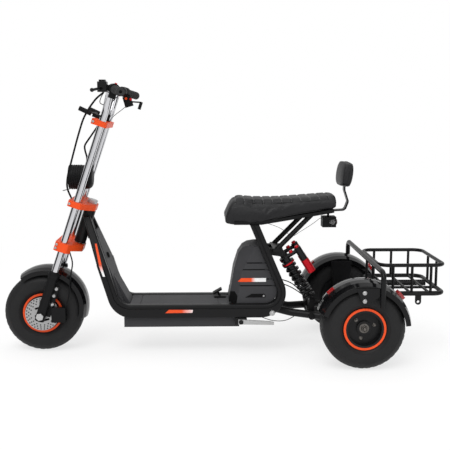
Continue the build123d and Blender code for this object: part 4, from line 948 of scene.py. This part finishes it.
class SCOOTER_OT_seat(bpy.types.Operator):
    """Padded saddle with sewn channels, stitches and piping"""
    bl_idname = "scooter.seat"
    bl_label = "Seat"

    def execute(self, context):
        s = sizes()
        margin = s.swell * 0.6
        half = high("seat_cushion").y - margin
        obj = pillow(19)
        for vertex in obj.data.vertices:
            u, v, w = vertex.co
            rise = (w + 1) / 2
            run = along_table(SEAT_FRONT, rise) - SEAT_REAR - 2 * margin
            ahead = SEAT_REAR + margin + run * (u + 1) / 2
            top, base = along_table(SEAT_TOP, ahead) - margin, along_table(SEAT_BASE, ahead) + margin / 2
            nose = max(0.0, (u - 0.3) / 0.7)
            across = half * v * (1 - 0.12 * nose ** 2 - 0.06 * max(0.0, -u - 0.6)) * (1 - 0.07 * rise ** 4)
            z = base + (top - base) * rise - 0.016 * abs(v) ** 5 * rise
            vertex.co = from_rear(ahead, across, z)
        edit_all(obj)
        bpy.ops.mesh.vertices_smooth(factor=0.5, repeat=3)
        close_edit()
        swell(obj, s.swell, s.voxel)
        seams = self.channels(obj, s)
        finish(obj, "saddle", "chassis", MATERIALS["vinyl"], ["seat_cushion"], 60)
        context.view_layer.update()
        self.stitches(obj, s, seams)
        self.piping(obj, s)
        return {"FINISHED"}

    def channels(self, obj, s):
        """Press sewn channels across the top of the saddle and a seam along each of its sides."""
        first, last, edge = 0.115, 0.53, 0.098
        seams = []
        place_x = first
        while place_x < last:
            seams.append(place_x)
            place_x += s.rib_pitch
        for vertex in obj.data.vertices:
            if vertex.normal.z < 0.3:
                continue
            ahead = vertex.co.x - REAR_AXLE.x
            gap = min(abs(ahead - seam) for seam in seams)
            side = max(0.0, min(1.0, (edge - abs(vertex.co.y)) / 0.012))
            press = s.rib_depth * max(0.0, 1 - gap / 0.009) ** 2 * side
            vertex.co.z -= press + 0.002 * max(0.0, 1 - abs(abs(vertex.co.y) - edge) / 0.004)
        obj.data.update()
        return seams

    def stitches(self, obj, s, seams):
        """Thread along each sewn channel."""
        threads = []
        for seam in seams:
            points = []
            for i in range(-8, 9):
                spot = drop(obj, from_rear(seam, 0.0115 * i, 1.0), -Z_AXIS)
                if spot:
                    points.append(spot)
            threads.append(tube(points, s.thread, 1, 3))
        finish(join(threads), "saddle_stitches", "chassis", MATERIALS["thread"])

    def piping(self, obj, s):
        """Welts along the upper edge and the hem of each side."""
        welts = []
        for side in SIDES:
            for line in (SEAT_WELT, SEAT_HEM):
                points = [drop(obj, from_rear(x, side * 0.3, z), -Y_AXIS * side) for x, z in line]
                welts.append(tube([point for point in points if point], s.piping, 3, 8))
        finish(join(welts), "saddle_piping", "chassis", MATERIALS["vinyl"])


class SCOOTER_OT_backrest(bpy.types.Operator):
    """Padded backrest with a welt around its front"""
    bl_idname = "scooter.backrest"
    bl_label = "Backrest"

    def execute(self, context):
        s = sizes()
        centre = middle("backrest_pad")
        turn = Matrix.Translation(centre) @ Matrix.Rotation(-BACKREST_TILT, 4, "Y")
        half = [size - s.swell * 0.5 for size in BACKREST_HALF]
        obj = pillow(15)
        for vertex in obj.data.vertices:
            u, v, w = vertex.co
            x = half[0] * u * (1 - 0.3 * abs(w) ** 3) * (1 - 0.3 * abs(v) ** 4)
            y = half[1] * v * (1 - 0.1 * abs(w) ** 3)
            z = half[2] * w * (1 - 0.16 * abs(v) ** 4)
            vertex.co = turn @ Vector((x, y, z))
        edit_all(obj)
        bpy.ops.mesh.vertices_smooth(factor=0.5, repeat=4)
        close_edit()
        swell(obj, s.swell, s.voxel)
        finish(obj, "backrest_cushion", "chassis", MATERIALS["vinyl"], ["backrest_pad"], 60)
        context.view_layer.update()
        points = []
        for i in range(25):
            around = 2 * pi * i / 24
            outside = turn @ Vector((-0.004, 0.2 * cos(around), 0.2 * sin(around)))
            inside = turn @ Vector((-0.004, 0.07 * cos(around), 0.02 * sin(around)))
            spot = drop(obj, outside, (inside - outside).normalized())
            if spot:
                points.append(spot)
        welt = tube(points, s.piping * 0.8, 3, 6)
        finish(welt, "backrest_piping", "chassis", MATERIALS["vinyl"])
        return {"FINISHED"}


# Frame trim

# The neck of each rail: the height where it starts, how far it is set in there, and its lean for each metre up.
NECK_UP = 0.400
NECK_INSET = 0.0035
NECK_LEAN = 0.3374
# Front edge of the battery box (height, place), and the length and width of its sloped front corners.
BOX_EDGE = [(0.479, 0.468), (0.370, 0.530), (0.222, 0.552)]
SLOPE_LONG = 0.034
SLOPE_WIDE = 0.034
# Stripes on the rails (place, height), and the end of the box's stripe and its feet (share of the slope, height).
NECK_STRIPE = (((1.139, 0.492), (1.131, 0.492), (1.107, 0.4004), (1.119, 0.4004)),
               ((1.119, NECK_UP), (1.107, NECK_UP), (1.093, 0.352), (1.103, 0.352)))
DECK_STRIPE = ((0.834, 0.187), (0.817, 0.202), (0.711, 0.201), (0.714, 0.188))
SLOPE_STRIPE = ((0, 0.320), (0.3, 0.320), (0, 0.334))
BOX_FOOT = ((0.05, 0.226), (1.0, 0.226), (1.0, 0.270), (0.5, 0.274), (0.05, 0.256))
# Grooves in the sides of the battery box: their heights, width and depth of the dark strip in them, which paints
# the shade in the grooves.
LOUVRES = (0.300, 0.330, 0.372, 0.402)
LOUVRE_WIDTH = 0.005
LOUVRE_DEPTH = 0.0012
# Rear edge of the battery box where it meets the seat post: a point (place, height) and its lean.
POST_EDGE = (0.332, 0.223)
POST_LEAN = 0.424


def on_neck(ahead, up, side):
    """Point on the outer face of a rail's front run."""
    inward = NECK_INSET + (up - NECK_UP) * NECK_LEAN if up > NECK_UP else 0.0
    return from_rear(ahead, side * (high("frame_rails").y - inward), up)


def on_slope(share, up, side):
    """Point on a sloped front corner of the battery box, from its side edge at 0 to its front edge at 1."""
    front = along_table(BOX_EDGE, up)
    return from_rear(front - SLOPE_LONG * (1 - share), side * (high("battery_box").y - SLOPE_WIDE * share),
                     up)


def sticker(points, thickness):
    """Thin plate on an outline, standing out from the scooter's middle plane."""
    normal = (points[1] - points[0]).cross(points[2] - points[0]).normalized()
    if normal.y * points[0].y < 0:
        normal = -normal
    return slab([point - normal * 0.0002 for point in points], normal * thickness)


class SCOOTER_OT_stripes(bpy.types.Operator):
    """Coloured stripes on the rails and the battery box"""
    bl_idname = "scooter.stripes"
    bl_label = "Stripes"

    def execute(self, context):
        s, c = sizes(), colours()
        rail_y, box_y = high("frame_rails").y, high("battery_box").y
        edge_low, edge_high = on_slope(0, 0.320, 1).x - REAR_AXLE.x, on_slope(0, 0.337, 1).x - REAR_AXLE.x
        for side, word in ((1, "left"), (-1, "right")):
            front = [[on_neck(x, z, side) for x, z in corners] for corners in NECK_STRIPE]
            deck = [[from_rear(x, side * rail_y, z) for x, z in DECK_STRIPE]]
            flat = ((edge_low, 0.320), (edge_high, 0.337), (0.389, 0.337), (0.389, 0.320))
            box = [
                [from_rear(x, side * box_y, z) for x, z in flat],
                [on_slope(share, z, side) for share, z in SLOPE_STRIPE],
            ]
            for name, parts, direction, fade in (("front_rail_stripe", front, "Z", (0.405, 0.37)),
                                                 ("deck_rail_stripe", deck, "X", (0.76, 0.70)),
                                                 ("box_stripe", box, "X", (0.455, 0.435))):
                offset = REAR_AXLE.x if direction == "X" else 0.0
                material = stripe_finish(f"{name}_{word}_paint", tuple(c.orange), tuple(c.white), direction,
                                         fade[0] + offset, fade[1] + offset)
                pieces = [sticker(points, s.decal) for points in parts]
                finish(join(pieces), f"{name}_{word}", "chassis", material)
        return {"FINISHED"}


class SCOOTER_OT_box_trim(bpy.types.Operator):
    """Feet and screws of the battery box, painted shade in its louvres and slot, the shield's lock and the bolts
    below the rails
    """
    bl_idname = "scooter.box_trim"
    bl_label = "Box trim"

    def execute(self, context):
        box_y = high("battery_box").y
        dark, bright = [], []
        for side in SIDES:
            foot = [on_slope(share, z, side) for share, z in BOX_FOOT]
            dark.append(sticker(foot, 0.003))
            # Dark strip in each louvre's groove: painted shade.
            for z in LOUVRES:
                front = on_slope(0, z, 1).x - REAR_AXLE.x - 0.004
                back = POST_EDGE[0] + (z - POST_EDGE[1]) * POST_LEAN
                corners = ((front, z), (front, z + LOUVRE_WIDTH), (back, z + LOUVRE_WIDTH), (back, z))
                strip = [from_rear(x, side * (box_y - LOUVRE_DEPTH), up) for x, up in corners]
                dark.append(sticker(strip, 0.0004))
            # Dark plate over the slot: painted shade in its opening.
            slot = [from_rear(x, side * box_y, z) for x, z in ((0.480, 0.250), (0.452, 0.266), (0.398, 0.266),
                                                               (0.391, 0.259), (0.391, 0.250))]
            dark.append(sticker(slot, 0.002))
            bright.append(bolt("socket", from_rear(0.399, side * (box_y + 0.0018), 0.257), Y_AXIS * side,
                               0.008, 0.002))
            bright.append(bolt("hex", from_rear(0.362, side * high("frame_rails").y, 0.184), Y_AXIS * side,
                               0.018, 0.008))
        # Dark plastic feet, together with the painted shade strips of the louvres and the slot.
        finish(join(dark), "box_feet_and_painted_groove_shade", "chassis", MATERIALS["dark"])
        finish(join(bright), "box_screws", "chassis", MATERIALS["zinc"])
        face = Vector((-0.939, 0, 0.345))
        barrel = [(0, -0.004), (0.014, -0.004), (0.014, 0.003), (0.012, 0.005), (0.007, 0.005),
                  (0.006, 0.002),
                  (0, 0.002)]
        lock = lathe(barrel, from_rear(1.0945, 0, 0.426), face, 32)
        finish(lock, "shield_lock", "chassis", MATERIALS["dark"])
        return {"FINISHED"}


class SCOOTER_OT_deck_mat(bpy.types.Operator):
    """Ribbed mat on the deck, in three lengths"""
    bl_idname = "scooter.deck_mat"
    bl_label = "Deck mat"

    def execute(self, context):
        half, base, crown, pitch = 0.087, 0.0022, 0.0034, 0.006
        floor = high("deck_floor").z - 0.0002
        count = int(2 * half / pitch)
        mats = []
        for rear, front in ((0.558, 0.598), (0.601, 0.944), (0.947, 0.990)):
            outline = [(-half, 0.0), (-half, base)]
            for i in range(count):
                y = -half + pitch * i + 0.0006
                outline += [(y, base), (y + 0.0008, crown), (y + pitch - 0.002, crown),
                            (y + pitch - 0.0012, base)]
            outline += [(half, base), (half, 0.0)]
            points = [from_rear(rear, y, floor + z) for y, z in outline]
            mats.append(slab(points, (front - rear, 0, 0)))
        finish(join(mats), "deck_mat", "chassis", MATERIALS["mat"])
        return {"FINISHED"}


class SCOOTER_OT_fender_trim(bpy.types.Operator):
    """Bolts on the fenders"""
    bl_idname = "scooter.fender_trim"
    bl_label = "Fender bolts"

    def execute(self, context):
        width = sizes().bolt
        outer = high("rear_fenders").y
        bolts = []
        for side in SIDES:
            for x, z in ((0.010, 0.334), (0.009, 0.300)):
                bolts.append(bolt("hex", from_rear(x, side * (outer - 0.0005), z), Y_AXIS * side, width,
                                  0.006))
        finish(join(bolts), "fender_bolts", "chassis", MATERIALS["zinc"])
        return {"FINISHED"}


class SCOOTER_OT_shock_trim(bpy.types.Operator):
    """Red collars and knobs on the shocks"""
    bl_idname = "scooter.shock_trim"
    bl_label = "Shock collars"

    def execute(self, context):
        top = from_rear(0.315, 0, 0.441)
        foot = from_rear(0.180, 0, 0.228)
        axis = (foot - top).normalized()
        rear = Vector((axis.z, 0, -axis.x))
        collar = lathe([(0.0285, 0.049), (0.0302, 0.050), (0.0302, 0.055), (0.0285, 0.056)], (0, 0, 0),
                       Z_AXIS, 40)
        knob = lathe([(0, -0.009), (0.008, -0.009), (0.0095, -0.007), (0.0095, 0.001), (0, 0.001)],
                     (0, 0, 0), Z_AXIS, 20)
        pieces = []
        for side in SIDES:
            head = top + Y_AXIS * (side * 0.060)
            pieces.append(copy_of(collar, facing(head, axis)))
            for offset, along in ((0.069, 0.013), (0.036, 0.018)):
                pieces.append(copy_of(knob, facing(head + rear * offset + axis * along, axis)))
        bpy.data.objects.remove(collar)
        bpy.data.objects.remove(knob)
        finish(join(pieces), "shock_collars", "chassis", MATERIALS["red"])
        return {"FINISHED"}


class SCOOTER_OT_wires(bpy.types.Operator):
    """Thin wires of the lamp, the brakes, the stand and the handlebar, and the seat lamp's glass"""
    bl_idname = "scooter.wires"
    bl_label = "Wires"

    def execute(self, context):
        s = sizes()
        # Wires on the chassis: share of the usual diameter, points ahead of the rear axle.
        chassis = (
            (0.5, ((0.128, 0.060, 0.596), (0.143, 0.060, 0.603), (0.172, 0.066, 0.580), (0.216, 0.072, 0.552),
                   (0.249, 0.078, 0.533), (0.269, 0.080, 0.519), (0.289, 0.080, 0.528), (0.330, 0.080, 0.562),
                   (0.386, 0.085, 0.579))),
            (1.2, ((0.330, 0.070, 0.330), (0.313, 0.064, 0.321), (0.285, 0.060, 0.312), (0.258, 0.060, 0.296),
                   (0.235, 0.062, 0.272))),
            (1.2, ((0.330, 0.076, 0.310), (0.313, 0.068, 0.304), (0.278, 0.064, 0.290), (0.239, 0.062, 0.266),
                   (0.212, 0.062, 0.245))),
            (0.8, ((0.420, 0.118, 0.170), (0.380, 0.122, 0.153), (0.330, 0.122, 0.146), (0.290, 0.120, 0.152),
                   (0.262, 0.112, 0.168))),
        )
        wires = [tube([from_rear(*point) for point in points], s.wire * share, 3, 8)
                 for share, points in chassis]
        finish(join(wires), "chassis_wires", "chassis", MATERIALS["cable"])
        # Wires on the fork, in its own frame.
        fork = (
            (0.7, ((-0.046, -0.205, 0.982), (-0.038, -0.190, 0.966), (-0.024, -0.120, 0.938),
                   (-0.014, -0.060, 0.914), (-0.012, -0.040, 0.894))),
            (0.9, ((0.020, 0.176, 1.018), (0.034, 0.158, 0.972), (0.020, 0.105, 0.960),
                   (-0.002, 0.040, 0.970), (0.000, -0.060, 0.992), (-0.006, -0.140, 1.022),
                   (-0.012, -0.172, 1.034))),
            (0.9, ((0.046, 0.086, 0.574), (0.060, 0.087, 0.564), (0.074, 0.088, 0.556))),
        )
        wires = [tube([on_fork(*point) for point in points], s.wire * share, 3, 8)
                 for share, points in fork]
        finish(join(wires), "fork_wires", "fork", MATERIALS["cable"])
        lamp_low = low("seat_rear_lamp")
        lens = lathe([(0, 0), (0.014, 0), (0.014, 0.002), (0.011, 0.006), (0, 0.008)], (0, 0, 0), Z_AXIS, 28)
        for name, y, material in (("seat_lamp_red", 0.025, "lens_red"),
                                  ("seat_lamp_clear", 0.055, "lens_clear")):
            piece = copy_of(lens, facing((lamp_low.x + 0.001, y, lamp_low.z + 0.023), -X_AXIS))
            finish(piece, name, "chassis", MATERIALS[material])
        side = copy_of(lens, facing((lamp_low.x + 0.018, high("seat_rear_lamp").y - 0.001,
                                     lamp_low.z + 0.023), Y_AXIS))
        finish(side, "seat_lamp_side", "chassis", MATERIALS["lens_clear"])
        bpy.data.objects.remove(lens)
        return {"FINISHED"}


# Stage

# Share of plain white in the floor that the camera sees, near the scooter, where it keeps the shadow, and far
# off, and the distances in metres between which it changes.
FLOOR_WHITE = (0.7, 1.0)
FLOOR_FADE = (1.2, 3.0)


class SCOOTER_OT_stage(bpy.types.Operator):
    """Floor, lights, world and camera"""
    bl_idname = "scooter.stage"
    bl_label = "Stage"

    def execute(self, context):
        s = sizes()
        scene = context.scene
        scene.view_settings.view_transform = "Standard"
        self.floor(s)
        self.world(scene)
        # Area lights: name, place, size, power.
        lights = (
            ("key", (1.6, 3.6, 3.4), 2.6, 40),
            ("fill", (-2.8, 3.0, 2.0), 2.4, 22),
            ("top", (0.0, -0.4, 4.2), 3.2, 30),
        )
        for name, spot, size, power in lights:
            light = bpy.data.lights.new(name, "AREA")
            light.size = size
            light.energy = power
            self.hang(context, light, spot, Vector((0, 0, 0.5)) - Vector(spot))
        sun = bpy.data.lights.new("sun", "SUN")
        sun.energy = s.sun
        sun.angle = radians(35)
        self.hang(context, sun, (0, 0, 5), Vector((-0.2, -0.5, -0.84)))
        camera = bpy.data.cameras.new("photo_camera")
        camera.sensor_width = 36
        camera.lens = s.lens
        obj = bpy.data.objects.new("photo_camera", camera)
        obj.location = s.camera
        yaw, pitch = s.camera_yaw, s.camera_pitch
        aim = Vector((-sin(yaw) * cos(pitch), -cos(yaw) * cos(pitch), -sin(pitch)))
        obj.rotation_euler = aim.to_track_quat("-Z", "Y").to_euler()
        context.collection.objects.link(obj)
        scene.camera = obj
        return {"FINISHED"}

    def hang(self, context, light, spot, aim):
        """Link a light and turn it along a direction."""
        obj = bpy.data.objects.new(light.name, light)
        obj.location = spot
        obj.rotation_euler = aim.to_track_quat("-Z", "Y").to_euler()
        context.collection.objects.link(obj)

    def floor(self, s):
        start()
        bpy.ops.mesh.primitive_plane_add(size=s.floor, location=(0, 0, -0.0005))
        obj = bpy.context.object
        obj.name = "studio_floor"
        material, nodes, links, shader = new_material("studio_floor")
        shader.inputs["Base Color"].default_value = (*colours().floor, 1)
        shader.inputs["Roughness"].default_value = 0.9
        glow = nodes.new("ShaderNodeEmission")
        glow.inputs["Color"].default_value = (1, 1, 1, 1)
        glow.inputs["Strength"].default_value = 1.0
        seen = seen_rays(nodes, links)
        distance = nodes.new("ShaderNodeVectorMath")
        distance.operation = "LENGTH"
        links.new(nodes.new("ShaderNodeTexCoord").outputs["Object"], distance.inputs[0])
        share = spread(nodes, links, distance.outputs["Value"], *FLOOR_WHITE, *FLOOR_FADE)
        keep_shadow = math(nodes, links, "MULTIPLY", seen, share)
        mix = nodes.new("ShaderNodeMixShader")
        links.new(keep_shadow, mix.inputs["Fac"])
        links.new(shader.outputs["BSDF"], mix.inputs[1])
        links.new(glow.outputs["Emission"], mix.inputs[2])
        links.new(mix.outputs["Shader"], nodes["Material Output"].inputs["Surface"])
        obj.data.materials.append(material)

    def world(self, scene):
        """Even light, white to the camera, and a room with dark flanks in reflections."""
        world = bpy.data.worlds.new("studio_world")
        world.use_nodes = True
        nodes, links = world.node_tree.nodes, world.node_tree.links
        even = nodes["Background"]
        even.inputs["Color"].default_value = (1, 1, 1, 1)
        even.inputs["Strength"].default_value = sizes().world
        white = nodes.new("ShaderNodeBackground")
        white.inputs["Color"].default_value = (1, 1, 1, 1)
        white.inputs["Strength"].default_value = 1.0
        room = nodes.new("ShaderNodeBackground")
        room.inputs["Strength"].default_value = 1.0
        parts = nodes.new("ShaderNodeSeparateXYZ")
        links.new(nodes.new("ShaderNodeTexCoord").outputs["Generated"], parts.inputs["Vector"])
        before = spread(nodes, links, parts.outputs["Y"], 0.0, 1.0, 0.6, 0.72)
        behind = spread(nodes, links, parts.outputs["Y"], 1.0, 0.0, -0.3, -0.18)
        above = spread(nodes, links, parts.outputs["Z"], 0.0, 0.5, 0.5, 0.7)
        open_side = math(nodes, links, "MAXIMUM", math(nodes, links, "MAXIMUM", before, behind), above)
        links.new(blend_colours(nodes, links, open_side, (0.04, 0.04, 0.04), (0.7, 0.7, 0.7)),
                  room.inputs["Color"])
        path = nodes.new("ShaderNodeLightPath")
        lit = nodes.new("ShaderNodeMixShader")
        links.new(path.outputs["Is Glossy Ray"], lit.inputs["Fac"])
        links.new(even.outputs["Background"], lit.inputs[1])
        links.new(room.outputs["Background"], lit.inputs[2])
        mix = nodes.new("ShaderNodeMixShader")
        links.new(math(nodes, links, "MAXIMUM", path.outputs["Is Camera Ray"],
                       path.outputs["Is Transmission Ray"]),
                  mix.inputs["Fac"])
        links.new(lit.outputs["Shader"], mix.inputs[1])
        links.new(white.outputs["Background"], mix.inputs[2])
        links.new(mix.outputs["Shader"], nodes["World Output"].inputs["Surface"])
        scene.world = world


def seen_rays(nodes, links):
    """One for rays that the camera, gloss or glass sees."""
    path = nodes.new("ShaderNodeLightPath")
    gloss = math(nodes, links, "MAXIMUM", path.outputs["Is Glossy Ray"], path.outputs["Is Transmission Ray"])
    return math(nodes, links, "MAXIMUM", path.outputs["Is Camera Ray"], gloss)


OPERATORS = (
    SCOOTER_OT_finishes, SCOOTER_OT_stage, SCOOTER_OT_tyres, SCOOTER_OT_hubs, SCOOTER_OT_grips,
    SCOOTER_OT_controls,
    SCOOTER_OT_fork_bolts, SCOOTER_OT_headlamp, SCOOTER_OT_seat, SCOOTER_OT_backrest, SCOOTER_OT_stripes,
    SCOOTER_OT_box_trim, SCOOTER_OT_deck_mat, SCOOTER_OT_fender_trim, SCOOTER_OT_shock_trim, SCOOTER_OT_wires,
)


class SCOOTER_PT_panel(bpy.types.Panel):
    """Sidebar panel that lists the pieces"""
    bl_idname = "SCOOTER_PT_panel"
    bl_label = "Scooter"
    bl_space_type = "VIEW_3D"
    bl_region_type = "UI"
    bl_category = "Scooter"

    def draw(self, context):
        for operator in OPERATORS:
            self.layout.operator(operator.bl_idname)


CLASSES = (ScooterSizes, ScooterColours, *OPERATORS, SCOOTER_PT_panel)


def register():
    for cls in CLASSES:
        bpy.utils.register_class(cls)
    bpy.types.Scene.scooter_sizes = bpy.props.PointerProperty(type=ScooterSizes)
    bpy.types.Scene.scooter_colours = bpy.props.PointerProperty(type=ScooterColours)


def unregister():
    del bpy.types.Scene.scooter_colours
    del bpy.types.Scene.scooter_sizes
    for cls in reversed(CLASSES):
        bpy.utils.unregister_class(cls)


def main():
    register()
    for operator in OPERATORS:
        group, name = operator.bl_idname.split(".")
        getattr(getattr(bpy.ops, group), name)()
    for head in HEADS.values():
        bpy.data.objects.remove(head)
    start()


if __name__ == "__main__":
    main()
